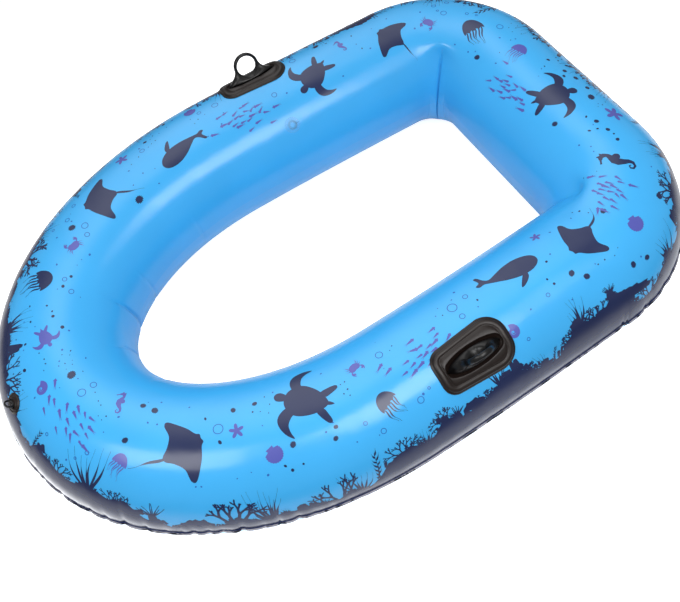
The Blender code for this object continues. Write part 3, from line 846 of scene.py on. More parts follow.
def jellyfish(rng, size):
    """A jellyfish: a bell with trailing arms."""
    unit = size / 100
    bell = [(-30, 4), (-29, 20), (-18, 38), (0, 45), (18, 38), (29, 20), (30, 4), (22, 8), (15, 3),
            (7, 8), (0, 3), (-7, 8), (-15, 3), (-22, 8)]
    parts = [cut_out(bell, unit)]
    for arm in range(6):
        root = ((arm - 2.5) * 9 * unit, 7 * unit)
        spine = curl(root, 270, rng.uniform(42, 66) * unit, rng.uniform(-25, 25), 22, 11)
        parts.append(ribbon(spine, taper(4.2 * unit, 11, tip=0.2)))
    return parts


def whale(rng, size):
    """A whale from the side."""
    body = [(-50, 4), (-47, 13), (-36, 19), (-18, 21), (2, 17), (20, 9), (32, 4), (40, 8), (47, 18),
            (52, 17), (48, 6), (55, 1), (50, -3), (42, -1), (34, -3), (20, -7), (4, -11), (-16, -13),
            (-34, -10), (-45, -4)]
    fin = [(-24, -9), (-18, -11), (-10, -22), (-6, -31), (-14, -28), (-24, -18)]
    return [cut_out(one, size / 100) for one in (body, fin)]


def seahorse(rng, size):
    """A seahorse: one curling ribbon with a snout and a back fin."""
    unit = size / 100
    spine = [Vector((x * unit, y * unit)) for x, y in (
        (10, 40), (2, 43), (-6, 38), (-7, 28), (-1, 18), (5, 8), (6, -4), (1, -16), (-5, -26),
        (-6, -36), (0, -43), (8, -42), (11, -35), (7, -30), (3, -33))]
    widths = [w * unit for w in (8, 13, 14, 10, 15, 21, 20, 14, 10, 8, 6.5, 5, 4, 3, 2)]
    snout = [Vector((x * unit, y * unit)) for x, y in ((8, 41), (17, 37), (24, 34))]
    back = [(-6, 16), (-15, 12), (-16, 2), (-9, -3), (-3, 0)]
    crest = [(-8, 40), (-12, 50), (-5, 47), (0, 54), (3, 46)]
    return [ribbon(spine, widths), ribbon(snout, [6 * unit, 4 * unit, 5 * unit]),
            cut_out(back, unit), cut_out(crest, unit)]


def crab(rng, size):
    """A crab from above."""
    unit = size / 100
    body = mirrored([(0, 20), (16, 22), (30, 12), (26, -8), (12, -18), (0, -19)])
    claw = [(26, 14), (38, 24), (36, 38), (26, 48), (29, 36), (22, 40), (21, 30), (28, 26)]
    parts = [cut_out(body, unit)]
    for hand in (1, -1):
        parts.append(cut_out(claw if hand > 0 else flipped(claw), unit))
        for leg in range(3):
            heading = (10 - leg * 24) if hand > 0 else 180 - (10 - leg * 24)
            spine = curl((24 * unit * hand, (4 - leg * 8) * unit), heading, 27 * unit, -hand * 55, 0.0, 6)
            parts.append(ribbon(spine, taper(5 * unit, 6, tip=0.2)))
    return parts


def urchin(rng, size):
    """A small sea urchin with short spines."""
    count = 26
    points = []
    for step in range(count):
        turn = 2 * math.pi * step / count
        radius = size / 2 * (1.0 if step % 2 else rng.uniform(0.70, 0.80))
        points.append((radius * math.cos(turn), radius * 0.86 * math.sin(turn)))
    return [outline_shape(points)]


def squid(rng, size):
    """A very small squid, darting: a tapered body with two fins and trailing arms."""
    unit = size / 100
    body = mirrored([(0, 50), (7, 40), (11, 12), (8, -8), (5, -22), (0, -24)])
    fins = mirrored([(0, 46), (14, 34), (17, 26), (8, 22), (0, 22)])
    parts = [outline_shape([(x * unit, y * unit) for x, y in one]) for one in (body, fins)]
    for off in (-1, 1):
        spine = curl((off * 4 * unit, -20 * unit), 270, 30 * unit, off * 18, 0.0, 2)
        parts.append(ribbon(spine, [4 * unit, 3 * unit, 1.5 * unit]))
    return parts


def spiral_shell(rng, size):
    """A coiled shell: a ribbon that winds in and narrows."""
    spine = []
    widths = []
    for step in range(34):
        share = step / 33
        turn = share * 4.2 * math.pi
        radius = size * 0.34 * (1 - share) ** 1.25 + size * 0.02
        spine.append(Vector((radius * math.cos(turn), radius * math.sin(turn))))
        widths.append(size * (0.30 * (1 - share) ** 1.3 + 0.015))
    return [ribbon(spine, widths)]


def pebble(rng, size):
    """A small rounded pebble."""
    count = 12
    long = rng.uniform(0.42, 0.52) * size
    short = long * rng.uniform(0.6, 0.95)
    points = [(long * math.cos(2 * math.pi * s / count), short * math.sin(2 * math.pi * s / count))
              for s in range(count)]
    return [outline_shape(points)]


def bubble(rng, size):
    """The outline of an air bubble."""
    spine = [Vector((size / 2 * math.cos(2 * math.pi * s / 20), size / 2 * math.sin(2 * math.pi * s / 20)))
             for s in range(21)]
    return [ribbon(spine, [max(size * 0.085, 1.5)] * 21)]


def stretch_at(hull, way, across):
    """Length on the skin for a length along the centreline."""
    reach = 0.005
    return (hull.place(way + reach, across) - hull.place(way - reach, across)).length / (2 * reach)


# The print's motifs are cut into cells of this size in millimetres, and lie in turn on layers of
# ink, so that two that overlap never lie in one plane.
PRINT_CELL = 9.0
INK_LAYERS = 9
INK_STEP = 0.00001


class Print:
    """Ink shapes gathered on one film that follows the skin."""

    def __init__(self, hull, lift):
        self.hull = hull
        self.lift = lift
        self.shape = bmesh.new()
        self.layer = 0

    def stamp(self, parts, way, across, turn):
        """Lays a drawing in millimetres on the sheet, upright across it at turn 0."""
        stretch = stretch_at(self.hull, way, across)
        spin = Matrix.Rotation(math.radians(turn), 3, "Z")
        for part in parts:
            bmesh.ops.rotate(part, verts=part.verts, cent=(0, 0, 0), matrix=spin)
            self.divide(part)
            self.layer = (self.layer + 1) % INK_LAYERS
            lift = self.lift + self.layer * INK_STEP
            for vert in part.verts:
                up = across + vert.co.y / 1000
                vert.co = self.hull.place(way + vert.co.x / 1000 / stretch, up, lift)
            loose = bpy.data.meshes.new("stamp")
            part.to_mesh(loose)
            part.free()
            self.shape.from_mesh(loose)
            bpy.data.meshes.remove(loose)

    @staticmethod
    def divide(part):
        """Cuts a flat shape into cells small enough to follow the round tube."""
        bmesh.ops.triangulate(part, faces=part.faces)
        for axis in (0, 1):
            low = min(vert.co[axis] for vert in part.verts)
            high = max(vert.co[axis] for vert in part.verts)
            place = math.floor(low / PRINT_CELL + 1) * PRINT_CELL
            while place < high:
                point = Vector((0, 0, 0))
                point[axis] = place
                normal = Vector((0, 0, 0))
                normal[axis] = 1.0
                bmesh.ops.bisect_plane(part, geom=part.verts[:] + part.edges[:] + part.faces[:],
                                       dist=0.01, plane_co=point, plane_no=normal)
                place += PRINT_CELL

    def finish(self, name, material):
        """Turns every face away from the tube's middle and makes the film a piece."""
        for face in self.shape.faces:
            face.normal_update()
            centre = face.calc_center_median()
            middle = min(ROUTE[::6], key=lambda s: (s.place - centre.xy).length_squared).place
            outward = centre - Vector((middle.x, middle.y, TUBE_HEIGHT))
            if face.normal.dot(outward) < 0:
                face.normal_flip()
        return finish(name, self.shape, [material])


# Larger creatures of the print: kind, ink, way along the tube, angle up from the outer seam, size
# in millimetres and turn in degrees.
CREATURES = (
    (turtle, "navy", 0.035, 97, 112, 200), (jellyfish, "violet", 3.330, 90, 62, 160),
    (star, "violet", 0.150, 66, 46, 10), (seahorse, "navy", 0.262, 92, 86, 30),
    (fan_shell, "violet", 0.400, 72, 36, 200), (ray, "navy", 0.498, 92, 104, 250),
    (star, "violet", 0.560, 118, 24, 40), (whale, "navy", 0.664, 102, 132, 12),
    (spiral_shell, "violet", 0.735, 62, 34, 80), (jellyfish, "navy", 1.010, 66, 70, 330),
    (crab, "violet", 1.035, 105, 40, 160), (turtle, "navy", 1.150, 96, 124, 300),
    (fan_shell, "violet", 1.232, 66, 34, 150), (star, "violet", 1.290, 88, 30, 12),
    (ray, "navy", 1.392, 78, 118, 60), (jellyfish, "violet", 1.500, 62, 54, 20),
    (seahorse, "violet", 1.545, 106, 52, 340), (spiral_shell, "violet", 1.700, 76, 34, 20),
    (turtle, "violet", 1.800, 92, 52, 70), (jellyfish, "navy", 1.930, 78, 86, 330),
    (crab, "violet", 2.030, 96, 44, 200), (ray, "navy", 2.160, 88, 112, 120),
    (star, "violet", 2.262, 68, 34, 0), (whale, "navy", 2.375, 100, 122, 352),
    (fan_shell, "violet", 2.448, 66, 30, 20), (turtle, "navy", 2.742, 100, 108, 60),
    (seahorse, "violet", 2.842, 84, 46, 170), (ray, "navy", 2.958, 102, 104, 150),
    (crab, "violet", 3.070, 98, 44, 30), (jellyfish, "navy", 3.205, 100, 84, 120),
)
# Schools of small squid: way along the tube, angle, heading in degrees and number; how much
# ground a school takes, how far its squid scatter along and across the tube, how close they swim
# and how much their headings differ.
SCHOOLS = ((0.905, 84, 70, 26), (1.610, 76, 300, 20), (2.545, 104, 80, 24), (3.395, 119, 250, 20),
           (0.352, 100, 20, 22))
SCHOOL_RADIUS = 0.045
SCHOOL_SPREAD = (0.028, 0.015)
SQUID_APART = 0.0115
SQUID_SWERVE = 14

# How tall the plants are at ways along the tube, as a factor, the factor for the stout kinds, the
# least height in millimetres, and the ground beside and below a creature that plants keep clear.
GROWTH = ((0.00, 2.25), (0.30, 1.80), (0.47, 1.20), (0.58, 0.95), (0.95, 1.05), (1.10, 1.50), (1.28, 2.30),
          (1.60, 2.20), (1.80, 1.70), (2.10, 1.45), (2.40, 1.60), (2.90, 1.80), (3.12, 2.10), (3.30, 2.40),
          (3.45, 2.25))
STOUT_GROWTH = 0.55
LEAST_PLANT = 12
PLANT_BESIDE = 0.014
PLANT_BELOW = 0.004
PLANT_KINDS = (wrack, grass, wrack, kelp, grass, wrack, sponge, grass, wrack, boulder, anemone)

# Groups of small shapes between the creatures: kind, number, smallest and largest size in
# millimetres; how far a group scatters along and across the tube, and how high it may lie.
SMALL_GROUPS = (
    (pebble, 5, 3.0, 5.5), (pebble, 6, 5.0, 10.0), (urchin, 1, 15.0, 22.0), (bubble, 3, 9.0, 20.0),
    (urchin, 2, 10.0, 16.0), (bubble, 4, 5.0, 11.0), (pebble, 9, 2.2, 4.0),
)
GROUP_SPREAD = (0.018, 0.016)
HIGHEST_SMALL = 0.335

# Ground that the fittings take on the skin: the half length of an oar patch and its ways across,
# and the valve's radius.
OAR_PATCH_REACH = 0.092
OAR_PATCH_BAND = (0.100, 0.232)
VALVE_REACH = 0.022

# Height of the ink over the skin.  Real ink lies within the film; here it needs a real gap.
PLANT_LIFT = 0.00015
SMALL_LIFT = 0.00020
CREATURE_LIFT = 0.00024


def across_at(angle):
    """Way across the sheet at an angle up from the outer seam, in degrees."""
    return math.radians(angle) * TUBE_RADIUS


def creature_places():
    """Way, way across and radius of every large creature."""
    return [(way, across_at(angle), size / 2000) for _, _, way, angle, size, _ in CREATURES]


def drawn_places():
    """Way, way across and radius of every large creature and every school."""
    return creature_places() + [(way, across_at(angle), SCHOOL_RADIUS) for way, angle, _, _ in SCHOOLS]


def is_clear(places, way, across, space):
    """Whether a spot keeps the given space from every place in a list."""
    return all(math.hypot(gap(way, centre), across - middle) > radius + space
               for centre, middle, radius in places)


def head_room(way, root):
    """Height in millimetres that a plant may reach below the creatures over it."""
    over = [across - radius for centre, across, radius in drawn_places()
            if gap(way, centre) < radius + PLANT_BESIDE]
    return 1000 * (min(over, default=1.0) - root - PLANT_BELOW)


def print_inks(settings):
    """Solvent inks fired into the film: as glossy as the film under them."""
    return {
        "navy": film_material("navy_ink_on_pvc", settings.navy_ink, 0.10),
        "violet": film_material("violet_ink_on_pvc", settings.violet_ink, 0.08),
        "blue": film_material("mid_blue_ink_on_pvc", settings.blue_ink, 0.05),
    }


def near_fitting(way, across, margin):
    """True where an oar patch or the valve stands on the skin."""
    low, high = OAR_PATCH_BAND
    for oarlock in OARLOCK_WAYS.values():
        if gap(way, oarlock) < OAR_PATCH_REACH + margin and low - margin < across < high + margin:
            return True
    valve = gap(way, way_of(VALVE_STATION, -1)) < VALVE_REACH + margin
    return valve and abs(across - across_at(VALVE_ANGLE)) < VALVE_REACH + margin


class HullProperties(bpy.types.PropertyGroup):
    """Colours and folds of the welded skins"""
    skin_colour: FloatVectorProperty(
        name="Upper skin", description="Colour of the upper film", subtype="COLOR",
        default=linear("#3FADEE"), min=0.0, max=1.0)
    lower_colour: FloatVectorProperty(
        name="Lower skin", description="Colour of the lower film", subtype="COLOR",
        default=linear("#49AEED"), min=0.0, max=1.0)
    # Dark weld colour: navy ink with painted shadow of the seam's folds.
    weld_ink_and_shadow: FloatVectorProperty(
        name="Outer weld", description="Colour of the pressed weld at the outer seam", subtype="COLOR",
        default=linear("#14151C"), min=0.0, max=1.0)
    # Pale weld colour: painted sheen, a reflection of the white floor on the drooping flange.
    weld_painted_sheen: FloatVectorProperty(
        name="Outer weld, pale", description="Colour of the weld between its folds", subtype="COLOR",
        default=linear("#A09FA8"), min=0.0, max=1.0)
    pucker_depth: FloatProperty(
        name="Seam puckers", description="Depth of the outer seam's deepest folds", unit="LENGTH",
        default=0.0052, min=0.0, max=0.02)
    crease_depth: FloatProperty(
        name="Stern creases", description="Depth of the sharp line in the stern's inner corners",
        unit="LENGTH", default=0.0080, min=0.0, max=0.02)
    ridge_height: FloatProperty(
        name="Stern ridges", description="Height of the soft ridge above each stern crease", unit="LENGTH",
        default=0.0028, min=0.0, max=0.01)
    seam_seed: IntProperty(name="Seam seed", description="Places the seam's folds", default=11, min=0)


class FloorProperties(bpy.types.PropertyGroup):
    """Tint and slack of the clear sheet"""
    tint: FloatVectorProperty(
        name="Floor tint", description="Tint of the clear film", subtype="COLOR",
        default=linear("#F4FAFF"), min=0.0, max=1.0)
    slack: FloatProperty(
        name="Floor slack", description="Height of the clear film's soft waves", unit="LENGTH",
        default=0.0022, min=0.0, max=0.01)


class PrintProperties(bpy.types.PropertyGroup):
    """Inks and height of the print"""
    navy_ink: FloatVectorProperty(
        name="Navy ink", description="Colour of the sea bed and the large creatures", subtype="COLOR",
        default=linear("#1E2950"), min=0.0, max=1.0)
    violet_ink: FloatVectorProperty(
        name="Violet ink", description="Colour of the small creatures", subtype="COLOR",
        default=linear("#5358AC"), min=0.0, max=1.0)
    blue_ink: FloatVectorProperty(
        name="Mid-blue ink", description="Colour of the bubbles", subtype="COLOR",
        default=linear("#2A62B4"), min=0.0, max=1.0)
    reef_height: FloatProperty(
        name="Sea bed", description="Mean height of the printed sea bed above the outer seam",
        unit="LENGTH", default=0.072, min=0.04, max=0.12)
    print_seed: IntProperty(name="Print seed", description="Places plants and small shapes", default=5, min=0)


class FittingProperties(bpy.types.PropertyGroup):
    """Colours of the moulded fittings and the valve"""
    patch_colour: FloatVectorProperty(
        name="Patches", description="Colour of the moulded patches", subtype="COLOR",
        default=linear("#1C1411"), min=0.0, max=1.0)
    ring_colour: FloatVectorProperty(
        name="Rings", description="Colour of the oar rings and the towing eye", subtype="COLOR",
        default=linear("#0C0C0D"), min=0.0, max=1.0)
    valve_colour: FloatVectorProperty(
        name="Valve", description="Tint of the clear valve", subtype="COLOR",
        default=linear("#8CC8F4"), min=0.0, max=1.0)


class StageProperties(bpy.types.PropertyGroup):
    """Paper, soft boxes and room light of the studio"""
    floor_colour: FloatVectorProperty(
        name="Studio floor", description="Colour of the pale floor", subtype="COLOR",
        default=linear("#FBFBFB"), min=0.0, max=1.0)
    rim_glow: FloatProperty(
        name="Rim glow", description="Brightness of the overlit paper round the boat, as gloss shows it",
        default=1.9, min=0.0)
    margin_colour: FloatVectorProperty(
        name="Floor beyond", description="Colour of the floor beyond the paper, which only reflections show",
        subtype="COLOR", default=linear("#6C6C6C"), min=0.0, max=1.0)
    side_power: FloatProperty(
        name="Side light", description="Power of the soft box to port, in watts", default=30.0, min=0.0)
    scrim_power: FloatProperty(
        name="Scrim", description="Power of the dim scrim beside the soft box, in watts",
        default=9.0, min=0.0)
    bow_power: FloatProperty(
        name="Bow light", description="Power of the soft box beyond the bow, in watts", default=31.0, min=0.0)
    sky_strength: FloatProperty(
        name="Room light", description="Strength of the room light overhead", default=0.46, min=0.0)
    backdrop_strength: FloatProperty(
        name="Backdrop", description="Strength of the lit backdrop to starboard", default=1.85, min=0.0)


def current_hull():
    """The inflated surface with the present settings."""
    return Hull(bpy.context.scene.boat_hull)


def current_heights():
    """Heights of the printed sea bed with the present settings."""
    settings = bpy.context.scene.boat_print
    return reef_heights(settings.print_seed, settings.reef_height)


class BOAT_OT_hull_skins(bpy.types.Operator):
    """Builds the upper and lower skins with their puckered outer seam and the stern creases"""
    bl_idname = "boat.hull_skins"
    bl_label = "Hull skins"

    def execute(self, context):
        settings = context.scene.boat_hull
        hull = current_hull()
        heights = current_heights()
        upper = film_material("sky_blue_pvc_film", settings.skin_colour)
        reef = film_material("navy_printed_pvc_film", context.scene.boat_print.navy_ink, 0.14)
        lower = film_material("lower_blue_pvc_film", settings.lower_colour)
        # The weld's two colours carry painted shadow and painted sheen.
        weld = weld_material("printed_pvc_weld", settings.weld_ink_and_shadow, settings.weld_painted_sheen)
        build_skin("upper_skin", hull, 1, heights, [upper, reef, weld], ["hull_upper_skin"])
        build_skin("lower_skin", hull, -1, heights, [lower], ["hull_lower_skin"])
        return {"FINISHED"}


def grow_ring(shape, edges):
    """Extrudes a closed row of edges; gives the new row's points and edges."""
    grown = bmesh.ops.extrude_edge_only(shape, edges=edges)["geom"]
    fresh = [one for one in grown if isinstance(one, bmesh.types.BMVert)]
    among = set(fresh)
    rim = [one for one in grown if isinstance(one, bmesh.types.BMEdge)
           and all(vert in among for vert in one.verts)]
    return fresh, rim


# Clear sheet: every third station of the route outlines it, it reaches this far outboard of the
# tube's centreline for its weld, and it has this many rings of points inside its outline.
FLOOR_STEP = 3
FLOOR_WELD = 0.030
FLOOR_RINGS = 26


class BOAT_OT_clear_floor(bpy.types.Operator):
    """Builds the clear sheet under the tube, stretched with a little slack"""
    bl_idname = "boat.clear_floor"
    bl_label = "Clear floor"

    def execute(self, context):
        settings = context.scene.boat_floor
        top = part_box("clear_floor_sheet")[1][2]
        rim = [station.place + station.outward * FLOOR_WELD for station in ROUTE[::FLOOR_STEP]]
        shape = bmesh.new()
        made = bmesh.ops.create_circle(shape, cap_ends=False, segments=len(rim), radius=1.0)
        edges = shape.edges[:]
        for vert, point in zip(made["verts"], rim):
            vert.co = Vector((point.x, point.y, top))
        for ring in range(1, FLOOR_RINGS + 1):
            shrink = 1 - ring / (FLOOR_RINGS + 1)
            fresh, edges = grow_ring(shape, edges)
            for vert in fresh:
                place = vert.co.xy / (1 - (ring - 1) / (FLOOR_RINGS + 1)) * shrink
                wave = math.sin(place.x * 21 + 0.8) * math.sin(place.y * 17 + 1.9)
                calm = soft_step(1 - shrink, 0.22, 0.55)
                rise = settings.slack * calm * (0.5 + 0.5 * wave)
                vert.co = Vector((place.x, place.y, top + rise))
        bmesh.ops.contextual_create(shape, geom=edges)
        bmesh.ops.recalc_face_normals(shape, faces=shape.faces)
        if shape.faces[0].normal.z < 0:
            bmesh.ops.reverse_faces(shape, faces=shape.faces)
        film = clear_material("clear_pvc_sheet", settings.tint, 0.12, 0.10)
        sheet = finish("clear_floor", shape, [film], ["clear_floor_sheet"])
        return {"FINISHED"}


class BOAT_OT_reef_print(bpy.types.Operator):
    """Prints the plants that grow out of the sea bed along the outer seam"""
    bl_idname = "boat.reef_print"
    bl_label = "Reef print"

    def execute(self, context):
        settings = context.scene.boat_print
        heights = current_heights()
        rng = random.Random(settings.print_seed + 100)
        film = Print(current_hull(), PLANT_LIFT)
        kinds = itertools.cycle(PLANT_KINDS)
        way = 0.0
        while way < ROUTE_LENGTH - 0.01:
            root = heights[split_way(way)[0]]
            tall = along(GROWTH, way)
            kind = next(kinds)
            height = rng.uniform(38, 68) * tall
            height *= STOUT_GROWTH if kind in (boulder, sponge, anemone) else 1.0
            height = min(height, head_room(way, root))
            if height > LEAST_PLANT:
                film.stamp(kind(rng, height), way, root, rng.uniform(-16, 16))
            way += rng.uniform(0.026, 0.048) * (0.55 + 0.45 * tall)
        way = 0.0
        while way < ROUTE_LENGTH - 0.01:
            kind = rng.choice((grass, wrack, sponge))
            film.stamp(kind(rng, rng.uniform(12, 24)), way, heights[split_way(way)[0]], rng.uniform(-20, 20))
            way += rng.uniform(0.009, 0.030)
        film.finish("reef_plants", print_inks(settings)["navy"])
        return {"FINISHED"}


class BOAT_OT_sea_life_print(bpy.types.Operator):
    """Prints the large creatures, the violet small ones and the schools of squid"""
    bl_idname = "boat.sea_life_print"
    bl_label = "Sea life print"

    def execute(self, context):
        settings = context.scene.boat_print
        hull = current_hull()
        inks = print_inks(settings)
        rng = random.Random(settings.print_seed + 200)
        films = {ink: Print(hull, CREATURE_LIFT) for ink in ("navy", "violet")}
        for kind, ink, way, angle, size, turn in CREATURES:
            films[ink].stamp(kind(rng, size), way, across_at(angle), turn)
        for way, angle, turn, count in SCHOOLS:
            middle = across_at(angle)
            taken = []
            while len(taken) < count:
                spot = Vector([rng.gauss(0, spread) for spread in SCHOOL_SPREAD])
                if not is_clear(creature_places(), way + spot.x, middle + spot.y, 0.006):
                    continue
                if all((spot - other).length > SQUID_APART for other in taken):
                    taken.append(spot)
                    films["violet"].stamp(squid(rng, rng.uniform(17, 26)), way + spot.x,
                                          middle + spot.y, turn + rng.gauss(0, SQUID_SWERVE))
        films["navy"].finish("large_creatures", inks["navy"])
        films["violet"].finish("small_creatures", inks["violet"])
        return {"FINISHED"}


class BOAT_OT_bubble_print(bpy.types.Operator):
    """Prints the pebbles, urchins and air bubbles between the creatures"""
    bl_idname = "boat.bubble_print"
    bl_label = "Bubble print"

    def execute(self, context):
        settings = context.scene.boat_print
        hull = current_hull()
        inks = print_inks(settings)
        rng = random.Random(settings.print_seed + 300)
        dark = Print(hull, SMALL_LIFT)
        rings = Print(hull, SMALL_LIFT)
        taken = drawn_places()
        way = 0.01
        while way < ROUTE_LENGTH:
            middle = rng.uniform(0.135, 0.290)
            kind, count, small, large = rng.choice(SMALL_GROUPS)
            for _ in range(count):
                there = way + rng.gauss(0, GROUP_SPREAD[0])
                across = middle + rng.gauss(0, GROUP_SPREAD[1])
                size = rng.uniform(small, large)
                clear = is_clear(taken, there, across, 0.006 + size / 2000)
                if clear and not near_fitting(there, across, 0.012) and across < HIGHEST_SMALL:
                    film = rings if kind is bubble else dark
                    film.stamp(kind(rng, size), there, across, rng.uniform(0, 360))
                    taken.append((there, across, size / 2000))
            way += rng.uniform(0.016, 0.034)
        way = 0.0
        while way < ROUTE_LENGTH:
            across = rng.uniform(0.125, 0.315)
            if is_clear(taken, way, across, 0.004) and not near_fitting(way, across, 0.006):
                rings.stamp(pebble(rng, rng.uniform(2.6, 6.0)), way, across, rng.uniform(0, 360))
            way += rng.uniform(0.008, 0.026)
        dark.finish("pebbles", inks["navy"])
        rings.finish("bubbles", inks["blue"])
        return {"FINISHED"}


Frame = namedtuple("Frame", "origin ahead outboard outward")
Ring = namedtuple("Ring", "outer hole thickness centre")
Opening = namedtuple("Opening", "length width")

# Oar ring fitting: patch length, widths at the stern and bow end and their corners, its opening,
# and the ring with the height of its centre above the skin.  Then the same for the towing eye.
OAR_PATCH = (0.170, 0.113, 0.098, 0.044, 0.030)
OAR_OPENING = Opening(0.130, 0.046)
OAR_RING = Ring(0.031, 0.0235, 0.012, 0.0341)
EYE_PATCH_RADIUS = 0.0220
EYE_OPENING = Opening(0.0235, 0.0110)
EYE_RING = Ring(0.0095, 0.0058, 0.0045, 0.0117)

# Rims of the patches as (inset from the edge, height), from the weld flange over the raised band,
# and their crowns as (share of the way from the band to the opening's lip, height).
OAR_PATCH_RIM = (
    (0.0, 0.0005), (0.0, 0.0011), (0.0004, 0.0016), (0.0043, 0.0017), (0.0050, 0.0024),
    (0.0056, 0.0040), (0.0068, 0.0052), (0.0088, 0.0060), (0.0112, 0.0063), (0.0138, 0.0060),
    (0.0156, 0.0053), (0.0168, 0.0043), (0.0176, 0.0040), (0.0186, 0.0042),
)
OAR_PATCH_CROWN = ((0.10, 0.0056), (0.28, 0.0066), (0.55, 0.0071), (0.85, 0.0071), (0.96, 0.0070),
                   (1.0, 0.0068))
EYE_PATCH_RIM = (
    (0.0, 0.0005), (0.0, 0.0011), (0.0004, 0.0016), (0.0024, 0.0017), (0.0029, 0.0026),
    (0.0037, 0.0032), (0.0050, 0.0034), (0.0062, 0.0031), (0.0070, 0.0024), (0.0078, 0.0024),
)
EYE_PATCH_CROWN = ((0.25, 0.0040), (0.60, 0.0046), (0.90, 0.0046), (1.0, 0.0044))

# Opening of a patch: how much wider its lip is, and the heights of its floor at the edge and in the
# middle.  Then the height of the patch's underside over the skin, the smallest corner that an
# inset outline keeps, and the points round an outline.
LIP_GROWTH = 0.0016
WELL_TOP = 0.0011
WELL_FLOOR = 0.0010
PATCH_UNDERSIDE = 0.0005
LEAST_CORNER = 0.002
PATCH_TURN = 96

# Ring on its foot: height of the foot's base over the skin, height and inset of its thin tips,
# angle where its flanks meet the ring, fullness of its lens-shaped plan, what that takes of the
# opening's width and its thinnest edge, squareness of the bar's section on the ring and on the
# foot, and points round the ring and round its section.
FOOT_BASE = 0.0013
TIP_HEIGHT = 0.0036
TIP_INSET = 0.0010
FLANK_ANGLE = 8
LENS_FULLNESS = 3.0
LENS_SHARE = 0.80
LENS_EDGE = 0.0008
BAR_SQUARENESS = 2.4
FOOT_SQUARENESS = 3.2
RING_AROUND = 144
RING_SECTION = 28


def tube_frame(place, ahead, outward, angle):
    """Frame of a fitting that stands on the tube at an angle up from the outer seam; place, ahead
    and outward are the centreline's, in plan."""
    turn = math.radians(angle)
    plan = Vector((*outward, 0.0))
    up = Vector((0.0, 0.0, 1.0))
    lean = plan * math.cos(turn) + up * math.sin(turn)
    origin = Vector((*place, TUBE_HEIGHT)) + lean * TUBE_RADIUS
    return Frame(origin, Vector((*ahead, 0.0)), plan * math.sin(turn) - up * math.cos(turn), lean)


def oarlock_frame(side):
    """Frame of the oar ring fitting to port, 1, or to starboard, -1."""
    reach = 0.005
    widening = half_width(OARLOCK_STATION + reach) - half_width(OARLOCK_STATION - reach)
    ahead = Vector((2 * reach, widening * side)).normalized()
    place = (OARLOCK_STATION, half_width(OARLOCK_STATION) * side)
    return tube_frame(place, ahead, (-ahead.y * side, ahead.x * side), OARLOCK_ANGLE)


def eye_frame():
    """Frame of the towing eye on the bow."""
    return tube_frame((BOW_START + BOW_LENGTH, 0.0), (0.0, -1.0), (1.0, 0.0), EYE_ANGLE)


def framed(base, x, y, z):
    """A point given in a fitting's own frame."""
    return base.origin + base.ahead * x + base.outboard * y + base.outward * z


def wrapped(base, x, y, height, along_radius):
    """A point of a flat layout wrapped onto the tube, in the fitting's own frame."""
    turn = y / TUBE_RADIUS
    radius = TUBE_RADIUS + height
    sag = x * x / (2 * along_radius) if along_radius else 0.0
    return framed(base, x, radius * math.sin(turn), radius * math.cos(turn) - TUBE_RADIUS - sag)


def even_outline(half):
    """Closes a half outline with its mirror image, in equal steps from the bow end round."""
    lengths = [0.0]
    for start, end in zip(half, half[1:]):
        lengths.append(lengths[-1] + math.dist(start, end))
    upper = []
    index = 0
    for step in range(PATCH_TURN // 2 + 1):
        target = lengths[-1] * step / (PATCH_TURN // 2)
        while index < len(half) - 2 and lengths[index + 1] < target:
            index += 1
        share = (target - lengths[index]) / (lengths[index + 1] - lengths[index])
        upper.append(Vector(half[index]).lerp(Vector(half[index + 1]), min(max(share, 0.0), 1.0)))
    return upper + [Vector((point.x, -point.y)) for point in upper[-2:0:-1]]


def tapered_outline(inset):
    """Outline of an oar ring patch: rounded corners, a little broader towards the stern."""
    length, stern, bow, stern_corner, bow_corner = OAR_PATCH
    tip = length / 2 - inset
    half = [(tip, 0.0)]
    for width, round_off, end in ((bow, bow_corner, 1), (stern, stern_corner, -1)):
        wide = width / 2 - inset
        corner = max(round_off - inset, LEAST_CORNER)
        arc = []
        for step in range(17):
            turn = math.pi / 2 * step / 16
            arc.append((end * (tip - corner + corner * math.cos(turn)),
                        wide - corner + corner * math.sin(turn)))
        half += arc if end > 0 else arc[::-1]
    half.append((-tip, 0.0))
    return even_outline(half)


def round_outline(inset):
    """Outline of the towing eye's round patch."""
    radius = EYE_PATCH_RADIUS - inset
    turns = [math.pi * step / 48 for step in range(49)]
    return even_outline([(radius * math.cos(turn), radius * math.sin(turn)) for turn in turns])


def barrel_outline(length, width):
    """Outline of a patch's opening: bulging sides and blunt ends with small round corners."""
    half = []
    for step in range(129):
        x = math.cos(math.pi * step / 128)
        wide = (1 - 0.50 * abs(x) ** 2.3) * max(1 - abs(x) ** 18, 0.0) ** 0.4
        half.append((x * length / 2, wide * width / 2))
    return even_outline(half)


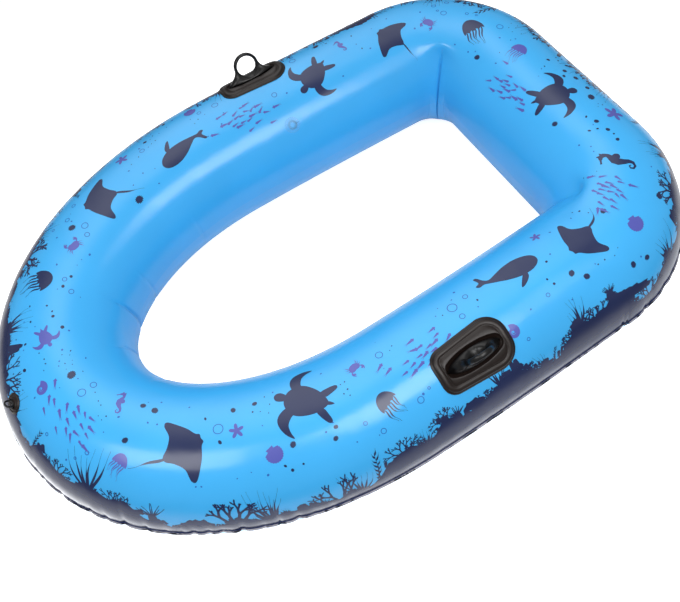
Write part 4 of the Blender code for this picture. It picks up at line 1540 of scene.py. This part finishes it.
def build_patch(name, base, outline, opening, rim, crown, along_radius, material):
    """A moulded patch, lofted from its weld flange over the raised band and the plateau into its
    opening, and closed underneath."""
    length, width = opening
    growth = LIP_GROWTH * width / OAR_OPENING.width
    lip = barrel_outline(length + growth, width + growth)
    layers = [(outline(inset), height) for inset, height in rim]
    inner = outline(rim[-1][0])
    layers += [([a.lerp(b, share) for a, b in zip(inner, lip)], height) for share, height in crown]
    drop = crown[-1][1]
    for along_share, across_share, height in (
            (1.0, 1.0, drop * 0.90), (0.992, 0.98, drop * 0.5), (0.985, 0.97, WELL_TOP),
            (0.30, 0.20, WELL_FLOOR), (0.30, 0.20, PATCH_UNDERSIDE)):
        layers.append((barrel_outline(length * along_share, width * across_share), height))
    shape = bmesh.new()
    row = bmesh.ops.create_circle(shape, cap_ends=False, segments=PATCH_TURN, radius=1.0)["verts"]
    first_edges = shape.edges[:]
    edges = first_edges
    for place, (points, height) in enumerate(layers):
        if place:
            fresh, edges = grow_ring(shape, edges)
            below = {}
            for vert in fresh:
                below[next(edge.other_vert(vert) for edge in vert.link_edges
                           if edge.other_vert(vert) not in fresh)] = vert
            row = [below[vert] for vert in row]
        for vert, point in zip(row, points):
            vert.co = wrapped(base, point.x, point.y, height, along_radius)
    bmesh.ops.bridge_loops(shape, edges=first_edges + edges)
    bmesh.ops.recalc_face_normals(shape, faces=shape.faces)
    return finish(name + "_moulding", shape, [material], [name])


def lug_outline(ring, opening, steps=40):
    """Right-hand outline of a ring on its foot, as points from the hole's centre."""
    scale = ring.thickness / OAR_RING.thickness
    tip = Vector((opening.length / 2 - TIP_INSET, TIP_HEIGHT * scale - ring.centre))
    side = math.radians(FLANK_ANGLE)
    meeting = Vector((ring.outer * math.cos(side), ring.outer * math.sin(side)))
    bend = Vector((ring.outer * 1.02, tip.y + (meeting.y - tip.y) * 0.26))
    points = [Vector((0.0, FOOT_BASE - ring.centre)), Vector((tip.x, FOOT_BASE - ring.centre))]
    for step in range(steps + 1):
        share = step / steps
        points.append(tip * (1 - share) ** 2 + bend * 2 * share * (1 - share) + meeting * share ** 2)
    for step in range(1, steps + 1):
        turn = side + (math.pi / 2 - side) * step / steps
        points.append(Vector((ring.outer * math.cos(turn), ring.outer * math.sin(turn))))
    return points


def outline_distance(points, turn):
    """Where a ray from the hole's centre meets the outline."""
    ray = Vector((math.cos(turn), math.sin(turn)))
    for start, end in zip(points, points[1:]):
        first = ray.cross(start)
        second = ray.cross(end)
        if first <= 0 <= second:
            share = -first / (second - first) if second > first else 0.0
            point = start.lerp(end, share)
            return point.dot(ray)
    return points[-1].length


def build_ring(name, base, ring, opening, material):
    """An oar ring or eye: a round bar that flares into a lens-shaped foot, swept round its hole."""
    points = lug_outline(ring, opening)
    shape = bmesh.new()
    bmesh.ops.create_grid(shape, x_segments=RING_AROUND, y_segments=RING_SECTION, size=0.5)
    for vert in shape.verts:
        turn = 2 * math.pi * (vert.co.x + 0.5)
        wrap = 2 * math.pi * (vert.co.y + 0.5)
        right = turn if math.cos(turn) >= 0 else math.pi - turn
        right = math.atan2(math.sin(right), abs(math.cos(right)))
        far = outline_distance(points, right)
        bar = BAR_SQUARENESS if far < ring.outer * 1.1 else FOOT_SQUARENESS
        inward = math.copysign(abs(math.cos(wrap)) ** (2 / bar), math.cos(wrap))
        sideways = math.copysign(abs(math.sin(wrap)) ** (2 / bar), math.sin(wrap))
        distance = (ring.hole + far) / 2 + (far - ring.hole) / 2 * inward
        x = distance * math.cos(turn)
        z = distance * math.sin(turn)
        wide = ring.thickness
        if z < 0:
            low = soft_step(-z, -0.1 * ring.outer, ring.centre - 0.003 * ring.thickness / OAR_RING.thickness)
            reach = abs(x) / (opening.length / 2)
            lens = (1 - min(reach, 1.0) ** LENS_FULLNESS) * opening.width * LENS_SHARE
            wide += (max(lens, LENS_EDGE) - ring.thickness) * low ** 2.2
        height = max(z, FOOT_BASE - ring.centre) + ring.centre
        vert.co = framed(base, x, wide / 2 * sideways, height)
    bmesh.ops.remove_doubles(shape, verts=shape.verts, dist=0.000002)
    bmesh.ops.recalc_face_normals(shape, faces=shape.faces)
    return finish(name + "_moulding", shape, [material], [name])


class BOAT_OT_fittings(bpy.types.Operator):
    """Builds the moulded patches with their oar rings, and the towing eye on the bow"""
    bl_idname = "boat.fittings"
    bl_label = "Oar rings and towing eye"

    def execute(self, context):
        settings = context.scene.boat_fittings
        patch = moulded_material("satin_black_moulded_pvc", settings.patch_colour, 0.36, PATCH_GRAIN, 0.00010)
        ring = moulded_material("gloss_black_moulded_pvc", settings.ring_colour, 0.30, RING_GRAIN, 0.00003)
        for side, hand in ((1, "port"), (-1, "starboard")):
            base = oarlock_frame(side)
            build_patch("oarlock_patch_" + hand, base, tapered_outline, OAR_OPENING, OAR_PATCH_RIM,
                        OAR_PATCH_CROWN, None, patch)
            build_ring("oarlock_ring_" + hand, base, OAR_RING, OAR_OPENING, ring)
        # Radius of the bow's own curve, which the patch follows as well as the tube's.
        cosine = math.cos(math.radians(EYE_ANGLE))
        bend = (SIDE_Y ** 2 / BOW_LENGTH + TUBE_RADIUS * cosine) / cosine
        base = eye_frame()
        build_patch("bow_patch", base, round_outline, EYE_OPENING, EYE_PATCH_RIM,
                    EYE_PATCH_CROWN, bend, patch)
        build_ring("bow_eyelet", base, EYE_RING, EYE_OPENING, ring)
        return {"FINISHED"}


class BOAT_OT_inflation_valve(bpy.types.Operator):
    """Gives the inflation valve its clear moulded finish"""
    bl_idname = "boat.inflation_valve"
    bl_label = "Inflation valve"

    def execute(self, context):
        settings = context.scene.boat_fittings
        clear = clear_material("clear_moulded_pvc", settings.valve_colour, 0.30, 0.07)
        for name in ("valve_collar", "valve_stem", "valve_plug", "valve_flap", "valve_strap"):
            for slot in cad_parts[name].material_slots:
                slot.material = clear
        return {"FINISHED"}


# The photographed view, worked out from the hull's outline: aim at the frame's origin.
VIEW_AZIMUTH = 158.721
VIEW_ELEVATION = 60.367
VIEW_ROLL = -12.191
VIEW_DISTANCE = 2.019
VIEW_FOCAL_PIXELS = 821.6
VIEW_OFFSET_PIXELS = (-9.151, -16.855)
IMAGE_WIDTH = 680
SENSOR_WIDTH = 36.0

# Studio floor: half its side, its drop below the boat, and how much light the camera sees added.
# The zones on it are distances from its middle in lengths and widths of the boat: where the
# overlit paper round the boat starts, is full and ends, and where the paper itself ends and has
# wholly given way to the darker floor beyond.
FLOOR_HALF = 14.0
FLOOR_DROP = 0.0006
CAMERA_LIFT = 0.90
GLOW_START = 0.46
GLOW_FULL = 0.53
GLOW_END = 0.66
PAPER_END = 0.70
BEYOND_FULL = 1.25

# Soft boxes: name, place, aim, turn in degrees, size, and the setting that holds the power.
SoftBox = namedtuple("SoftBox", "name place aim turn size power")
SOFT_BOXES = (
    SoftBox("side_soft_box", (-0.36, 1.56, 2.70), (-0.36, 0.95, 0.20), 20.0, (1.5, 1.20), "side_power"),
    SoftBox("side_scrim", (-0.80, 1.30, 2.72), (-0.80, 0.90, 0.20), 20.0, (1.9, 1.1), "scrim_power"),
    SoftBox("bow_soft_box", (1.82, 0.66, 2.70), (1.30, 0.40, 0.20), -35.0, (1.6, 1.15), "bow_power"),
)

# Room light: the share of the overhead strength that the walls have.  Lit backdrop to starboard,
# in the room's directions: the middle of its panel fore and aft, and the panel's half width.
WALL_SHARE = 0.75
BACKDROP_X = -0.17
BACKDROP_HALF = 0.47


class BOAT_OT_stage(bpy.types.Operator):
    """Sets the pale floor, the soft boxes, the room light and the camera"""
    bl_idname = "boat.stage"
    bl_label = "Studio"

    def execute(self, context):
        settings = context.scene.boat_stage
        self.floor(settings)
        self.lamps(context, settings)
        self.room(context, settings)
        self.camera(context)
        view = context.scene.view_settings
        view.view_transform = "Standard"
        return {"FINISHED"}

    def floor(self, settings):
        """Matt white studio paper.  To the camera it is a little brighter, so that it fades to white
        while it keeps the shadow, and gloss shows an overlit band of it round the boat."""
        shape = bmesh.new()
        bmesh.ops.create_grid(shape, x_segments=8, y_segments=8, size=FLOOR_HALF)
        bmesh.ops.translate(shape, verts=shape.verts, vec=(0, 0, -FLOOR_DROP))
        mesh = bpy.data.meshes.new("studio_floor")
        shape.to_mesh(mesh)
        shape.free()
        material, tree, shader = start_material("white_studio_paper", Roughness=0.9, Specular_IOR_Level=0.0)
        at = add_node(tree, "ShaderNodeTexCoord").outputs["Object"]
        scaled = add_node(tree, "ShaderNodeMapping", {
            "Vector": at, "Scale": (1 / HULL_LENGTH, 1 / HULL_WIDTH, 1.0)})
        length = add_node(tree, "ShaderNodeVectorMath", {0: scaled.outputs["Vector"]}, operation="LENGTH")
        away = length.outputs["Value"]
        beyond = add_node(tree, "ShaderNodeMapRange", {
            "Value": away, "From Min": PAPER_END, "From Max": BEYOND_FULL}, interpolation_type="SMOOTHSTEP")
        tone = blend_colours(tree, beyond.outputs["Result"], settings.floor_colour, settings.margin_colour)
        tree.links.new(tone, shader.inputs["Base Color"])
        outside = add_node(tree, "ShaderNodeMapRange", {
            "Value": away, "From Min": GLOW_START, "From Max": GLOW_FULL,
            "To Max": settings.rim_glow}, interpolation_type="SMOOTHSTEP")
        fading = add_node(tree, "ShaderNodeMapRange", {
            "Value": away, "From Min": GLOW_FULL, "From Max": GLOW_END,
            "To Min": 1.0, "To Max": 0.0}, interpolation_type="SMOOTHSTEP")
        glow = add_node(tree, "ShaderNodeMath", {
            0: outside.outputs["Result"], 1: fading.outputs["Result"]}, operation="MULTIPLY")
        path = add_node(tree, "ShaderNodeLightPath")
        shine = add_node(tree, "ShaderNodeMath", {
            0: glow.outputs[0], 1: path.outputs["Is Glossy Ray"]}, operation="MULTIPLY")
        lift = add_node(tree, "ShaderNodeMath", {
            0: path.outputs["Is Camera Ray"], 1: CAMERA_LIFT, 2: shine.outputs[0]},
            operation="MULTIPLY_ADD")
        shader.inputs["Emission Color"].default_value = (1.0, 1.0, 1.0, 1.0)
        tree.links.new(lift.outputs[0], shader.inputs["Emission Strength"])
        mesh.materials.append(material)
        floor = bpy.data.objects.new("studio_floor", mesh)
        bpy.context.scene.collection.objects.link(floor)

    def lamps(self, context, settings):
        """Two bright soft boxes, abeam to port and beyond the bow, and a dim scrim towards the stern."""
        for made in SOFT_BOXES:
            lamp = bpy.data.lights.new(made.name, "AREA")
            lamp.shape = "RECTANGLE"
            lamp.size, lamp.size_y = made.size
            lamp.energy = getattr(settings, made.power)
            box = bpy.data.objects.new(made.name, lamp)
            back = (Vector(made.place) - Vector(made.aim)).normalized()
            level = Vector((math.cos(math.radians(made.turn)), math.sin(math.radians(made.turn)), 0.0))
            level = (level - back * level.dot(back)).normalized()
            axes = Matrix((level, back.cross(level), back)).transposed().to_4x4()
            box.matrix_world = Matrix.Translation(made.place) @ axes
            context.scene.collection.objects.link(box)

    def room(self, context, settings):
        """Soft room light, brighter overhead than along the walls, and a lit backdrop to starboard."""
        world = bpy.data.worlds.new("white_room")
        world.use_nodes = True
        tree = world.node_tree
        tree.nodes.clear()
        at = add_node(tree, "ShaderNodeTexCoord").outputs["Generated"]
        split = add_node(tree, "ShaderNodeSeparateXYZ", {"Vector": at})
        soft = add_node(tree, "ShaderNodeMapRange", {
            "Value": split.outputs["Z"], "From Min": 0.2, "From Max": 1.0,
            "To Min": settings.sky_strength * WALL_SHARE, "To Max": settings.sky_strength},
            interpolation_type="SMOOTHSTEP")
        beside = add_node(tree, "ShaderNodeMapRange", {
            "Value": split.outputs["Y"], "From Min": 0.05, "From Max": -0.35,
            "To Max": settings.backdrop_strength}, interpolation_type="SMOOTHSTEP")
        shift = add_node(tree, "ShaderNodeMath", {0: split.outputs["X"], 1: -BACKDROP_X}, operation="ADD")
        apart = add_node(tree, "ShaderNodeMath", {0: shift.outputs[0]}, operation="ABSOLUTE")
        near = add_node(tree, "ShaderNodeMapRange", {
            "Value": apart.outputs[0], "From Min": BACKDROP_HALF, "From Max": 0.0},
            interpolation_type="SMOOTHSTEP")
        above = add_node(tree, "ShaderNodeMapRange", {
            "Value": split.outputs["Z"], "From Min": 0.0, "From Max": 0.6}, interpolation_type="SMOOTHSTEP")
        panel = add_node(tree, "ShaderNodeMath", {
            0: near.outputs["Result"], 1: above.outputs["Result"]}, operation="MULTIPLY")
        total = add_node(tree, "ShaderNodeMath", {
            0: beside.outputs["Result"], 1: panel.outputs[0], 2: soft.outputs["Result"]},
            operation="MULTIPLY_ADD")
        path = add_node(tree, "ShaderNodeLightPath")
        lit = add_node(tree, "ShaderNodeMix", {
            "Factor": path.outputs["Is Camera Ray"], "A": total.outputs[0], "B": 1.0})
        sky = add_node(tree, "ShaderNodeBackground", {
            "Color": (1.0, 1.0, 1.0, 1.0), "Strength": lit.outputs[0]})
        add_node(tree, "ShaderNodeOutputWorld", {"Surface": sky.outputs["Background"]})
        context.scene.world = world

    def camera(self, context):
        """The photographed view, with a small shift for its place in the picture."""
        azimuth, elevation, roll = (math.radians(v) for v in (VIEW_AZIMUTH, VIEW_ELEVATION, VIEW_ROLL))
        back = Vector((math.sin(azimuth) * math.cos(elevation), -math.cos(azimuth) * math.cos(elevation),
                       math.sin(elevation)))
        right = Vector((math.cos(azimuth), math.sin(azimuth), 0.0))
        up = back.cross(right)
        turned_right = right * math.cos(roll) + up * math.sin(roll)
        turned_up = up * math.cos(roll) - right * math.sin(roll)
        data = bpy.data.cameras.new("photo_view")
        data.sensor_width = SENSOR_WIDTH
        data.lens = VIEW_FOCAL_PIXELS * SENSOR_WIDTH / IMAGE_WIDTH
        data.shift_x = -VIEW_OFFSET_PIXELS[0] / IMAGE_WIDTH
        data.shift_y = VIEW_OFFSET_PIXELS[1] / IMAGE_WIDTH
        camera = bpy.data.objects.new("photo_view", data)
        axes = Matrix((turned_right, turned_up, back)).transposed().to_4x4()
        camera.matrix_world = Matrix.Translation(back * VIEW_DISTANCE) @ axes
        context.scene.collection.objects.link(camera)
        context.scene.camera = camera


class BOAT_PT_panel(bpy.types.Panel):
    """Lists the boat's pieces and their settings"""
    bl_idname = "BOAT_PT_panel"
    bl_label = "Inflatable boat"
    bl_space_type = "VIEW_3D"
    bl_region_type = "UI"
    bl_category = "Boat"

    def draw(self, context):
        for group, operators in PANEL_ROWS:
            settings = getattr(context.scene, group)
            box = self.layout.box()
            for name in settings.bl_rna.properties.keys():
                if name not in ("rna_type", "name"):
                    box.prop(settings, name)
            for operator in operators:
                box.operator(operator)


# Rows of the panel: the settings, and the operators that use them, in their order of running.
PANEL_ROWS = (
    ("boat_hull", ("boat.hull_skins",)),
    ("boat_floor", ("boat.clear_floor",)),
    ("boat_print", ("boat.reef_print", "boat.sea_life_print", "boat.bubble_print")),
    ("boat_fittings", ("boat.fittings", "boat.inflation_valve")),
    ("boat_stage", ("boat.stage",)),
)
# Groups of settings, by their name in the scene.
GROUPS = {
    "boat_hull": HullProperties,
    "boat_floor": FloorProperties,
    "boat_print": PrintProperties,
    "boat_fittings": FittingProperties,
    "boat_stage": StageProperties,
}
CLASSES = (
    *GROUPS.values(),
    BOAT_OT_hull_skins,
    BOAT_OT_clear_floor,
    BOAT_OT_reef_print,
    BOAT_OT_sea_life_print,
    BOAT_OT_bubble_print,
    BOAT_OT_fittings,
    BOAT_OT_inflation_valve,
    BOAT_OT_stage,
    BOAT_PT_panel,
)


def register():
    """Registers the settings, the operators and the panel."""
    for one in CLASSES:
        bpy.utils.register_class(one)
    for name, group in GROUPS.items():
        setattr(bpy.types.Scene, name, PointerProperty(type=group))


def unregister():
    """Takes everything that register added away again."""
    for name in GROUPS:
        delattr(bpy.types.Scene, name)
    for one in reversed(CLASSES):
        bpy.utils.unregister_class(one)


def main():
    """Builds the boat and its studio."""
    register()
    for _, operators in PANEL_ROWS:
        for operator in operators:
            getattr(bpy.ops.boat, operator.split(".")[1])()
    bpy.context.view_layer.update()


if __name__ == "__main__":
    main()
